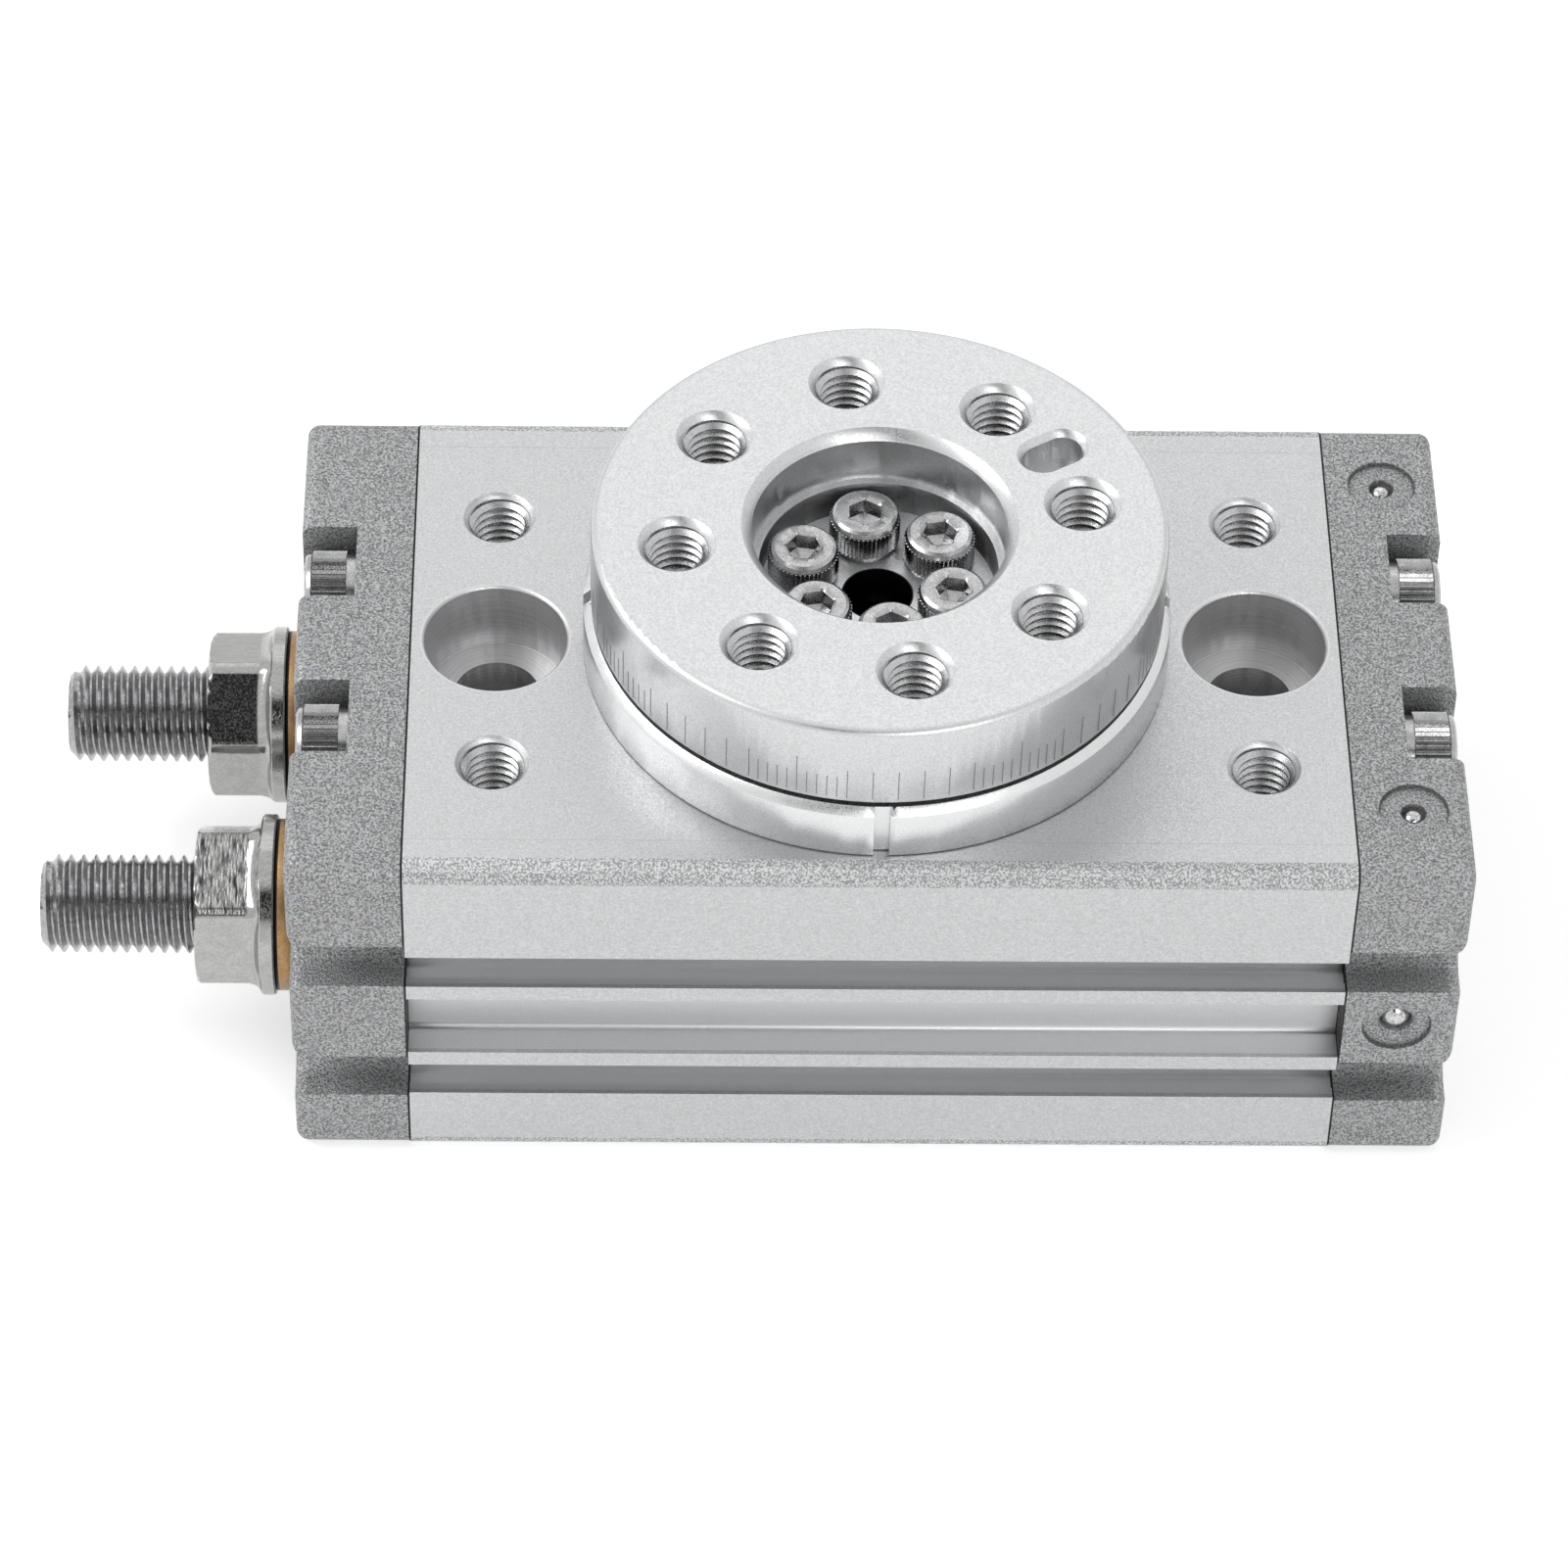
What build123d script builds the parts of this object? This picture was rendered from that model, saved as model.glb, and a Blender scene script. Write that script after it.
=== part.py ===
from build123d import *
import math
import os

# Twin-rack rotary table actuator. Sizes are in millimetres and +Z is up. The origin
# lies on the table's axis in the plane of the base. +X points at the cover with the
# air ports, and the two pistons run along X, one on each side of the pinion.

# Housing, an anodised extrusion with machined bores
body_length = 73.4
body_width = 50.0
body_height = 33.0
body_edge_radius = 1.5
bore_height = 13.0
web_half_width = 4.7
slot_wall = 0.7
bore_mouth_chamfer = 0.4
sensor_slot_heights = (8.65, 21.35)
sensor_slot_opening = 3.4
sensor_slot_lip = 1.0
sensor_slot_width = 4.4
sensor_slot_depth = 4.6
slot_rib_height = 1.5
side_recess_depth = 2.8
side_recess_radius = 0.4
air_passage_radius = 1.2
air_passage_inset = 7.1
air_passage_drop = 6.0

# Fastening holes of the housing; thread radii are the threads' major radii
mount_hole_x = 30.0
mount_hole_y = 13.5
m5_radius = 2.5
m5_mouth_radius = 2.9
m5_body_depth = 9.5
drill_point_angle = 118.0
drill_tip_radius = 0.05
through_hole_radius = 3.4
counterbore_radius = 5.65
counterbore_depth = 6.3
counterbore_chamfer = 0.2
m8_radius = 4.0
m8_bottom_depth = 12.0

# Covers, die castings screwed to both ends of the housing
cover_thickness = 9.1
cover_inset = 0.05
cover_corner_radius = 1.5
cover_edge_radius = 1.0
cover_groove_height = 4.6
cover_groove_depth = 4.3
cover_groove_lifts = (0.2, 0.55)
gasket_thickness = 0.8
gasket_land = 1.1
gasket_screw_gap = 0.7

# Cover screws, M4 socket heads standing in open pockets
top_screw_y = 8.5
top_screw_drop = 3.9
bottom_screw_wall = 0.88
bottom_screw_angle = 62.4
m4_radius = 2.0
m4_head_radius = 3.5
m4_head_height = 3.4
m4_collar_radius = 3.25
m4_collar_height = 0.7
m4_socket_width = 3.0
m4_socket_depth = 2.0
m4_engagement = 9.0
screw_clearance = 0.2
head_edge_chamfer = 0.3
pocket_clearance = 0.35
pocket_wall_x = 4.65

# Air ports and ball-sealed drillings of the port cover
port_depth = 6.0
port_mouth_chamfer = 0.3
top_plug_x = 4.65
side_plug_x = 4.3
plug_recess_radius = 2.7
plug_recess_depth = 0.35
top_ball_radius = 0.95
side_ball_radius = 1.3
side_ball_mouth = 0.35
side_ball_drop = 0.1
side_plug_height = 15.6
top_drilling_depth = 12.0
side_drilling_depth = 8.0

# Pinion and rack teeth
tooth_module = 0.75
pinion_teeth = 16
pressure_angle = 20.0
profile_shift = 0.1
backlash = 0.1
teeth_half_width = 5.4
tooth_addendum = 1.0
tooth_dedendum = 1.25
tooth_foot_overlap = 0.9
tooth_gap = 0.3
hollow_radius = 2.75
rack_spaces = 13

# Swing of the table either way from the rest position
swing_clockwise = 99.0
swing_anticlockwise = 91.0
pad_gap = 0.05

# Pistons with their rings
piston_length = 48.0
piston_clearance = 0.2
rack_rod_clearance = 0.3
rack_flat_margin = 1.7
seal_width = 2.0
seal_depth = 1.2
seal_station = 21.6
wear_ring_width = 2.0
wear_ring_depth = 0.6
wear_ring_station = 18.9
ring_bore_clearance = 0.04
magnet_radius = 3.0
magnet_length = 2.0

# Upper deep groove ball bearing
upper_inner_radius = 10.0
upper_outer_radius = 16.0
upper_width = 7.0
upper_ball_radius = 1.75
upper_ball_count = 12
upper_land = 1.4

# Lower deep groove ball bearing
lower_inner_radius = 4.0
lower_outer_radius = 8.0
lower_width = 4.0
lower_ball_radius = 1.1
lower_ball_count = 8
lower_land = 1.1
lower_bearing_base = 1.6
ball_play = 0.06
cage_play = 0.12
cage_thickness = 1.0
lower_cage_thickness = 0.7
cage_rib = 0.35
snap_ring_width = 1.0
snap_ring_radial = 1.1
snap_groove_depth = 0.5

# Pinion shaft
shoulder_radius = 11.2
shoulder_height = 1.8
shoulder_radial_gap = 0.8
shoulder_axial_gap = 0.3
shaft_end_gap = 0.3
spigot_height = 1.6
journal_gap = 0.02

# Bearing retainer, the index ring under the table
retainer_radius = 23.1
retainer_height = 4.9
retainer_overlap = 1.4
retainer_chamfer = 0.6
index_notch_width = 1.2
index_notch_depth = 0.6
index_notch_count = 4
retainer_screw_circle = 19.2
retainer_screw_count = 4
retainer_screw_radius = 1.25
retainer_screw_head_radius = 2.2
retainer_screw_head_height = 1.5
retainer_screw_recess = 0.5
retainer_screw_engagement = 5.0

# Table
table_radius = 22.5
table_thickness = 7.6
table_gap = 0.5
table_edge_radius = 0.6
table_phase = -1.43
table_hole_circle = 16.0
table_hole_count = 8
table_first_hole = 100.0
table_mouth_radius = 3.05
table_bore_radius = 10.0
table_bore_depth = 4.8
table_bore_chamfer = 0.8
screw_well_radius = 9.4
screw_well_depth = 7.8
hub_radius = 13.2
hub_clamp_radius = 11.5
hub_clamp_height = 0.8
slot_angle = 32.5
slot_half_width = 1.5
slot_length = 5.0
slot_depth = 2.8
slot_chamfer = 0.5

# Table screws, M3 socket heads, and the dowel between table and pinion
m3_radius = 1.5
m3_head_radius = 2.8
m3_head_height = 3.0
m3_socket_width = 2.5
m3_socket_depth = 1.5
m3_engagement = 4.0
m3_shank_gap = 0.02
table_screw_circle = 6.25
table_screw_count = 6
dowel_radius = 0.75
dowel_length = 7.0
dowel_circle = 4.9
dowel_angle = 66.4

# Adjusting bolts with cushion pads, lock nuts and seal washers
adjuster_offset = 1.7
bolt_radius = 3.95
bolt_length = 30.0
bolt_end_chamfer = 0.6
bolt_bore_gap = 0.05
bolt_socket_width = 4.0
bolt_socket_depth = 4.0
pad_radius = 3.4
pad_thickness = 1.7
pad_stem_radius = 1.5
pad_stem_length = 2.5
pad_stem_gap = 0.05
pad_stem_end_gap = 0.3
nut_across_flats = 12.0
nut_corner_radius = 6.7
nut_height = 5.15
nut_corner_chamfer = 0.5
nut_skirt_height = 1.0
nut_skirt_radius = 6.85
flange_radius = 7.24
flange_thickness = 1.2
washer_radius = 6.87
washer_thickness = 1.65
washer_bore_gap = 0.12
nut_turns = {"front": 48.0, "back": 9.0}

# Places worked out from the sizes above
end_x = body_length / 2
cover_x = end_x + cover_thickness
pitch_radius = tooth_module * pinion_teeth / 2
rack_datum = pitch_radius + profile_shift * tooth_module
tip_radius = pitch_radius + (tooth_addendum + profile_shift) * tooth_module
root_radius = pitch_radius - (tooth_dedendum - profile_shift) * tooth_module
tooth_pitch = math.pi * tooth_module
bore_radius = (body_width / 2 - sensor_slot_depth - slot_wall - web_half_width) / 2
bore_y = web_half_width + bore_radius
adjuster_y = bore_y - adjuster_offset
air_passage_y = body_width / 2 - air_passage_inset
air_passage_z = body_height - air_passage_drop
cover_screw_top = (top_screw_y, body_height - top_screw_drop)
bottom_screw_reach = bore_radius + bottom_screw_wall + m4_radius
bottom_screw_y = bore_y + bottom_screw_reach * math.cos(math.radians(bottom_screw_angle))
bottom_screw_z = bore_height - bottom_screw_reach * math.sin(math.radians(bottom_screw_angle))
cover_screw_bottom = (bottom_screw_y, bottom_screw_z)
travel_clockwise = pitch_radius * math.radians(swing_clockwise)
travel_anticlockwise = pitch_radius * math.radians(swing_anticlockwise)
stop_travel = {"front": travel_clockwise, "back": travel_anticlockwise}
side_sign = {"front": -1, "back": 1}
upper_seat_z = body_height - upper_width
lower_top_z = lower_bearing_base + lower_width
retainer_top_z = body_height + retainer_height
table_base_z = retainer_top_z + table_gap
table_top_z = table_base_z + table_thickness
spigot_top_z = body_height + spigot_height
pinion_base_z = lower_bearing_base - shaft_end_gap
teeth_base_z = bore_height - teeth_half_width
teeth_top_z = bore_height + teeth_half_width
upper_ball_z = upper_seat_z + upper_width / 2
lower_ball_z = lower_bearing_base + lower_width / 2
head_seat_z = table_top_z - screw_well_depth
reach = 1.0


def rod_z(x, y, radius, low, high):
    """A cylinder standing on Z between two heights."""
    return Pos(x, y, (low + high) / 2) * Cylinder(radius, high - low)


def rod_x(y, z, radius, low, high):
    """A cylinder lying along X between two stations."""
    return Pos((low + high) / 2, y, z) * Rot(0, 90, 0) * Cylinder(radius, high - low)


def ring_z(outer, inner, low, high):
    """A plain ring round the table's axis."""
    return rod_z(0, 0, outer, low, high) - rod_z(0, 0, inner, low - reach, high + reach)


def ring_x(y, z, outer, inner, low, high):
    """A plain ring round an axis along X."""
    return rod_x(y, z, outer, low, high) - rod_x(y, z, inner, low - reach, high + reach)


def along_x(section, low, high):
    """A prism of a section drawn in Y and Z, between two stations on X."""
    return extrude(Plane.YZ.offset(low) * section, amount=high - low)


def countersink(x, y, top, bore, mouth):
    """The cone that opens a hole of the bore's radius to the mouth's radius at the top."""
    return Pos(x, y, top - (mouth - bore) / 2) * Cone(bore, mouth, mouth - bore)


def drill_point(x, y, radius, z):
    """The cone that a twist drill leaves below a blind hole ending at z."""
    height = radius / math.tan(math.radians(drill_point_angle / 2))
    return Pos(x, y, z - height / 2) * Cone(drill_tip_radius, radius, height)


def on_circle(radius, angle):
    """The X and Y of a point on a circle round the table's axis."""
    return radius * math.cos(math.radians(angle)), radius * math.sin(math.radians(angle))


def hexagon_z(width, low, high):
    """A hexagonal prism on Z, given by its width across flats."""
    return extrude(Plane.XY.offset(low) * RegularPolygon(width / math.sqrt(3), 6), amount=high - low)


def group(pieces):
    """Several like solids under one name."""
    return Compound([solid for piece in pieces for solid in piece.solids()])


def at_end(part, end):
    """A part modelled at +X, as it stands there or mirrored to the other end."""
    return part if end > 0 else mirror(part, about=Plane.YZ)


def sensor_slot(side, height):
    """The undercut groove, open to the side, that takes a position sensor."""
    face = body_width / 2
    floor = face - sensor_slot_depth
    round_y = floor + sensor_slot_width / 2
    mouth = Pos(side * face, height) * Rectangle(2 * (face - round_y), sensor_slot_opening)
    depth = face - sensor_slot_lip - round_y
    channel = Pos(side * (round_y + depth / 2), height) * Rectangle(depth, sensor_slot_width)
    bottom = Pos(side * round_y, height) * Circle(sensor_slot_width / 2)
    return mouth + channel + bottom


def side_recess(side):
    """The open channel between the two ribs that border the sensor slots."""
    low = sensor_slot_heights[0] + sensor_slot_opening / 2 + slot_rib_height
    high = sensor_slot_heights[1] - sensor_slot_opening / 2 - slot_rib_height
    channel = RectangleRounded(2 * side_recess_depth, high - low, side_recess_radius)
    return Pos(side * body_width / 2, (low + high) / 2) * channel


def cover_screw_places():
    """The Y and Z of the four screws of one cover."""
    places = []
    for y, z in (cover_screw_top, cover_screw_bottom):
        places += [(-y, z), (y, z)]
    return places


def housing():
    """The extruded body with its bores, seats, slots and fastening holes."""
    section = RectangleRounded(body_width, body_height, body_edge_radius)
    section = Pos(0, body_height / 2) * section
    for side in (-1, 1):
        for height in sensor_slot_heights:
            section -= sensor_slot(side, height)
        section -= side_recess(side)
        section -= Pos(side * bore_y, bore_height) * Circle(bore_radius)
        section -= Pos(side * air_passage_y, air_passage_z) * Circle(air_passage_radius)
    body = along_x(section, -end_x, end_x)
    for side in (-1, 1):
        for end in (-1, 1):
            cone = Cone(bore_radius, bore_radius + bore_mouth_chamfer, bore_mouth_chamfer)
            mouth = Rot(0, end * 90, 0) * cone
            body -= Pos(end * (end_x - bore_mouth_chamfer / 2), side * bore_y, bore_height) * mouth
    body -= rod_z(0, 0, tip_radius + tooth_gap, lower_top_z - reach, upper_seat_z)
    shoulder_floor = upper_seat_z - shoulder_height - shoulder_axial_gap
    body -= rod_z(0, 0, shoulder_radius + shoulder_radial_gap, shoulder_floor, upper_seat_z + reach)
    body -= rod_z(0, 0, upper_outer_radius, upper_seat_z, body_height + reach)
    body -= rod_z(0, 0, lower_outer_radius, -reach, lower_top_z)
    groove_top = lower_bearing_base
    body -= rod_z(0, 0, lower_outer_radius + snap_groove_depth, groove_top - snap_ring_width, groove_top)
    for x in (-mount_hole_x, mount_hole_x):
        for y in (-mount_hole_y, mount_hole_y):
            floor = body_height - m5_body_depth
            body -= rod_z(x, y, m5_radius, floor, body_height + reach)
            body -= countersink(x, y, body_height, m5_radius, m5_mouth_radius)
            body -= drill_point(x, y, m5_radius, floor)
        body -= rod_z(x, 0, through_hole_radius, -reach, body_height + reach)
        body -= rod_z(x, 0, counterbore_radius, body_height - counterbore_depth, body_height + reach)
        mouth = counterbore_radius + counterbore_chamfer
        body -= countersink(x, 0, body_height, counterbore_radius, mouth)
        body -= rod_z(x, 0, m8_radius, -reach, m8_bottom_depth)
    for y, z in cover_screw_places():
        body -= rod_x(y, z, m4_radius, end_x - m4_engagement - reach, end_x + reach)
        body -= rod_x(y, z, m4_radius, -end_x - reach, -end_x + m4_engagement + reach)
    for x, y in retainer_screw_places():
        low = body_height - retainer_screw_engagement - reach
        body -= rod_z(x, y, retainer_screw_radius, low, body_height + reach)
    return body


def cover_outline():
    """The cover's section in Y and Z with its round-bottomed side grooves."""
    width = body_width - 2 * cover_inset
    height = body_height - 2 * cover_inset
    outline = Pos(0, body_height / 2) * RectangleRounded(width, height, cover_corner_radius)
    radius = cover_groove_height / 2
    straight = cover_groove_depth - radius
    for side in (-1, 1):
        for slot, lift in zip(sensor_slot_heights, cover_groove_lifts):
            z = slot + lift
            outline -= Pos(side * width / 2, z) * Rectangle(2 * straight, cover_groove_height)
            outline -= Pos(side * (width / 2 - straight), z) * Circle(radius)
    return outline


def screw_pocket(y, z):
    """The U-shaped cutter for a screw head's pocket, open outwards and to the nearer rim."""
    radius = m4_head_radius + pocket_clearance
    wall = end_x + pocket_wall_x
    rim = body_height + reach if z > body_height / 2 else -reach
    depth = cover_x + reach - wall
    mouth = Box(depth, 2 * radius, abs(rim - z))
    return rod_x(y, z, radius, wall, wall + depth) + Pos(wall + depth / 2, y, (z + rim) / 2) * mouth


def cover_blank():
    """A cover towards +X, with grooves, pockets and screw holes but no ports."""
    blank = along_x(cover_outline(), end_x, cover_x)
    rim = blank.faces().sort_by(Axis.X)[-1].edges()
    blank = fillet(rim, cover_edge_radius)
    blank -= along_x(gasket_outline(), end_x, end_x + gasket_thickness)
    for y, z in cover_screw_places():
        blank -= screw_pocket(y, z)
        blank -= rod_x(y, z, m4_radius + screw_clearance, end_x - reach, cover_x)
    return blank


def gasket_outline():
    """The gasket's section: one loop round each bore, joined in the middle."""
    outer = bore_radius + gasket_land
    loops = Pos(0, bore_height) * Rectangle(2 * bore_y, 2 * outer)
    for side in (-1, 1):
        loops += Pos(side * bore_y, bore_height) * Circle(outer)
    for side in (-1, 1):
        loops -= Pos(side * bore_y, bore_height) * Circle(bore_radius)
    for y, z in cover_screw_places():
        loops -= Pos(y, z) * Circle(m4_radius + gasket_screw_gap)
    return loops


def gasket(end):
    """The flat seal between the housing and one cover."""
    return at_end(along_x(gasket_outline(), end_x, end_x + gasket_thickness), end)


def adjuster_cover():
    """The cover at -X, with the threaded holes of the adjusting bolts."""
    cover = at_end(cover_blank(), -1)
    for side in (-1, 1):
        hole = bolt_radius + bolt_bore_gap
        cover -= rod_x(side * adjuster_y, bore_height, hole, -cover_x - reach, -end_x + reach)
    return cover


def port_cover():
    """The cover at +X, with two air ports and three drillings sealed by balls."""
    cover = cover_blank()
    x = end_x + top_plug_x
    top = body_height - cover_inset
    for side in (-1, 1):
        y = side * bore_y
        cover -= rod_x(y, bore_height, m5_radius, cover_x - port_depth, cover_x + reach)
        mouth = Rot(0, 90, 0) * Cone(m5_radius, m5_radius + port_mouth_chamfer, port_mouth_chamfer)
        cover -= Pos(cover_x - port_mouth_chamfer / 2, y, bore_height) * mouth
        cover -= rod_x(y, bore_height, air_passage_radius, end_x - reach, cover_x - port_depth + reach)
        y = side * air_passage_y
        cover -= rod_z(x, y, plug_recess_radius, top - plug_recess_depth, top + reach)
        cover -= rod_z(x, y, top_ball_radius, top - top_drilling_depth, top)
        cover -= rod_x(y, air_passage_z, air_passage_radius, end_x - reach, x)
    return cover - side_drilling()


def side_drilling():
    """The cutter for the cross drilling at the front, with its recess and cone for the ball."""
    floor = plug_recess_depth
    drilling = rod_z(0, 0, side_ball_radius, -side_drilling_depth, 0)
    drilling += countersink(0, 0, -floor, side_ball_radius, side_ball_radius + side_ball_mouth)
    drilling += rod_z(0, 0, plug_recess_radius, -floor, reach)
    front = -body_width / 2 + cover_inset
    return Pos(end_x + side_plug_x, front, side_plug_height) * Rot(90, 0, 0) * drilling


def passage_balls():
    """The steel balls pressed into the mouths of the drillings."""
    x = end_x + top_plug_x
    balls = []
    floor = body_height - cover_inset - plug_recess_depth
    for side in (-1, 1):
        place = Pos(x, side * air_passage_y, floor - top_ball_radius)
        balls.append(place * Sphere(top_ball_radius))
    floor = -body_width / 2 + cover_inset + plug_recess_depth
    place = Pos(end_x + side_plug_x, floor + side_ball_drop + side_ball_radius, side_plug_height)
    balls.append(place * Sphere(side_ball_radius))
    return group(balls)


def cover_screw(y, z):
    """One M4 socket head screw of the +X cover."""
    seat = end_x + pocket_wall_x
    shank = rod_x(y, z, m4_radius, end_x - m4_engagement, seat)
    collar = rod_x(y, z, m4_collar_radius, seat, seat + m4_collar_height)
    top = seat + m4_collar_height + m4_head_height
    head = rod_x(y, z, m4_head_radius, seat + m4_collar_height, top)
    rim = head.faces().sort_by(Axis.X)[-1].edges()
    head = chamfer(rim, head_edge_chamfer)
    socket = Rot(0, 90, 0) * hexagon_z(m4_socket_width, -m4_socket_depth, reach)
    return shank + collar + head - Pos(top, y, z) * socket


def cover_screws(end):
    """The four screws of the cover at one end."""
    return at_end(group([cover_screw(y, z) for y, z in cover_screw_places()]), end)


def retainer_screw_places():
    """The X and Y of the retainer's screws, halfway between its index notches."""
    step = 360 / retainer_screw_count
    return [on_circle(retainer_screw_circle, step * (k + 0.5)) for k in range(retainer_screw_count)]


def bearing_retainer():
    """The ring on the housing that holds the bearing down and carries the index notches."""
    top = retainer_top_z
    ring = rod_z(0, 0, retainer_radius, body_height, top)
    ring = chamfer(ring.faces().sort_by(Axis.Z)[-1].edges(), retainer_chamfer)
    ring -= rod_z(0, 0, upper_outer_radius - retainer_overlap, body_height - reach, top + reach)
    notch = Box(2 * index_notch_depth, index_notch_width, retainer_height + 2 * reach)
    for k in range(index_notch_count):
        turn = Rot(0, 0, 360 / index_notch_count * k)
        ring -= turn * Pos(retainer_radius, 0, body_height + retainer_height / 2) * notch
    for x, y in retainer_screw_places():
        ring -= rod_z(x, y, retainer_screw_radius + screw_clearance, body_height - reach, top)
        ring -= rod_z(x, y, retainer_screw_head_radius + screw_clearance, retainer_head_z(), top + reach)
    return ring


def retainer_head_z():
    """The height of the counterbore floor that the retainer's screws bear on."""
    return retainer_top_z - retainer_screw_head_height - retainer_screw_recess


def retainer_screws():
    """The low-head screws that fix the retainer to the housing."""
    screws = []
    for x, y in retainer_screw_places():
        low = body_height - retainer_screw_engagement
        shank = rod_z(x, y, retainer_screw_radius, low, retainer_head_z())
        top = retainer_head_z() + retainer_screw_head_height
        screws.append(shank + rod_z(x, y, retainer_screw_head_radius, retainer_head_z(), top))
    return group(screws)


def raceway(pitch, ball, z):
    """The torus that both races of a bearing are grooved by."""
    return Pos(0, 0, z) * Torus(pitch, ball + ball_play)


def bearing_rings(inner, outer, land, ball, base, width):
    """The grooved inner and outer ring of a ball bearing standing on a base height."""
    pitch = (inner + outer) / 2
    groove = raceway(pitch, ball, base + width / 2)
    inside = ring_z(pitch - land, inner, base, base + width)
    outside = ring_z(outer, pitch + land, base, base + width)
    return inside - groove, outside - groove


def bearing_balls(pitch, ball, count, z):
    """The balls of a bearing, evenly spaced."""
    places = [on_circle(pitch, 360 / count * k) for k in range(count)]
    return group([Pos(x, y, z) * Sphere(ball) for x, y in places])


def bearing_cage(pitch, ball, count, z, thickness):
    """The ring that keeps the balls apart, with one round pocket for each."""
    half = ball + cage_play + cage_rib
    cage = ring_z(pitch + thickness / 2, pitch - thickness / 2, z - half, z + half)
    for k in range(count):
        pocket = Rot(0, 90, 0) * Cylinder(ball + cage_play, 2 * thickness)
        cage -= Rot(0, 0, 360 / count * k) * Pos(pitch, 0, z) * pocket
    return cage


def snap_ring():
    """The retaining ring that holds the lower bearing in the housing."""
    outer = lower_outer_radius + snap_groove_depth
    top = lower_bearing_base
    ring = ring_z(outer, lower_outer_radius - snap_ring_radial, top - snap_ring_width, top)
    opening = Box(2 * outer, 2 * snap_ring_radial, 2 * snap_ring_width)
    return ring - Pos(outer, 0, top - snap_ring_width / 2) * opening


def involute_point(base, radius, offset):
    """A point of the involute of a base circle, at a radius, turned by an angle."""
    roll = math.acos(base / radius)
    angle = math.tan(roll) - roll + offset
    return radius * math.cos(angle), radius * math.sin(angle)


def pinion_section():
    """The pinion's toothed outline, one tooth on the +Y axis."""
    base = pitch_radius * math.cos(math.radians(pressure_angle))
    roll = math.radians(pressure_angle)
    width = tooth_pitch / 2 + 2 * profile_shift * tooth_module * math.tan(roll) - backlash / 2
    half_angle = width / 2 / pitch_radius + math.tan(roll) - roll
    start = max(base, root_radius) + 0.001 * tooth_module
    section = Circle(root_radius)
    low = [involute_point(base, start, -half_angle), involute_point(base, pitch_radius, -half_angle)]
    low.append(involute_point(base, tip_radius, -half_angle))
    high = [(x, -y) for x, y in reversed(low)]
    foot = root_radius * tooth_foot_overlap
    foot_low = on_circle(foot, math.degrees(math.atan2(low[0][1], low[0][0])))
    tooth = ThreePointArc(*low) + Line(low[-1], high[0]) + ThreePointArc(*high)
    tooth += Line(high[-1], (foot_low[0], -foot_low[1]))
    tooth += Line((foot_low[0], -foot_low[1]), foot_low)
    tooth += Line(foot_low, low[0])
    shape = make_face(tooth)
    for k in range(pinion_teeth):
        section += Rot(0, 0, 90 + 360 / pinion_teeth * k) * shape
    return section


def pinion():
    """The hollow toothed shaft that carries the table."""
    shoulder_base = upper_seat_z - shoulder_height
    teeth = extrude(Plane.XY.offset(teeth_base_z) * pinion_section(), amount=2 * teeth_half_width)
    shaft = rod_z(0, 0, lower_inner_radius - journal_gap, pinion_base_z, lower_top_z)
    shaft += rod_z(0, 0, root_radius, lower_top_z, teeth_base_z)
    shaft += teeth
    shaft += rod_z(0, 0, tip_radius, teeth_top_z, shoulder_base)
    shaft += rod_z(0, 0, shoulder_radius, shoulder_base, upper_seat_z)
    shaft += rod_z(0, 0, upper_inner_radius - journal_gap, upper_seat_z, spigot_top_z)
    shaft -= rod_z(0, 0, hollow_radius, pinion_base_z - reach, spigot_top_z + reach)
    for x, y in table_screw_places():
        low = spigot_top_z - m3_engagement - reach
        shaft -= rod_z(x, y, m3_radius, low, spigot_top_z + reach)
    x, y = on_circle(dowel_circle, dowel_angle + table_phase)
    shaft -= rod_z(x, y, dowel_radius, head_seat_z - dowel_length, spigot_top_z + reach)
    return shaft


def rack_space(x):
    """The cutter for one tooth space of the back rack, centred on a station."""
    slope = math.tan(math.radians(pressure_angle))
    half = (tooth_pitch / 2 + backlash / 2) / 2
    root = tooth_dedendum * tooth_module
    mouth = half + (tooth_addendum * tooth_module + reach) * slope
    floor = half - root * slope
    near = rack_datum - tooth_addendum * tooth_module - reach
    far = rack_datum + root
    corners = [(x - mouth, near), (x + mouth, near), (x + floor, far), (x - floor, far)]
    outline = make_face(Polyline(*corners, close=True))
    low = bore_height - bore_radius
    return extrude(Plane.XY.offset(low) * outline, amount=2 * bore_radius)


def back_rack_piston():
    """The piston rod at +Y, with its rack facing the pinion."""
    half = piston_length / 2
    land = bore_radius - piston_clearance
    flat = rack_spaces * tooth_pitch / 2 + rack_flat_margin
    piston = rod_x(bore_y, bore_height, land, -half, half)
    rod = bore_radius - rack_rod_clearance
    piston -= ring_x(bore_y, bore_height, bore_radius + reach, rod, -flat, flat)
    depth = bore_y - rack_datum + tooth_addendum * tooth_module
    block = Box(2 * flat, 2 * bore_radius, 2 * bore_radius)
    piston -= Pos(0, bore_y - depth - bore_radius, bore_height) * block
    for k in range(rack_spaces):
        piston -= rack_space((k - (rack_spaces - 1) / 2) * tooth_pitch)
    for end in (-1, 1):
        for station, width, groove in ring_stations():
            x = end * station
            floor = bore_radius - groove
            cut = ring_x(bore_y, bore_height, bore_radius + reach, floor, x - width / 2, x + width / 2)
            piston -= cut
    piston -= rod_x(bore_y, bore_height, magnet_radius, half - magnet_length, half + reach)
    return piston


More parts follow.
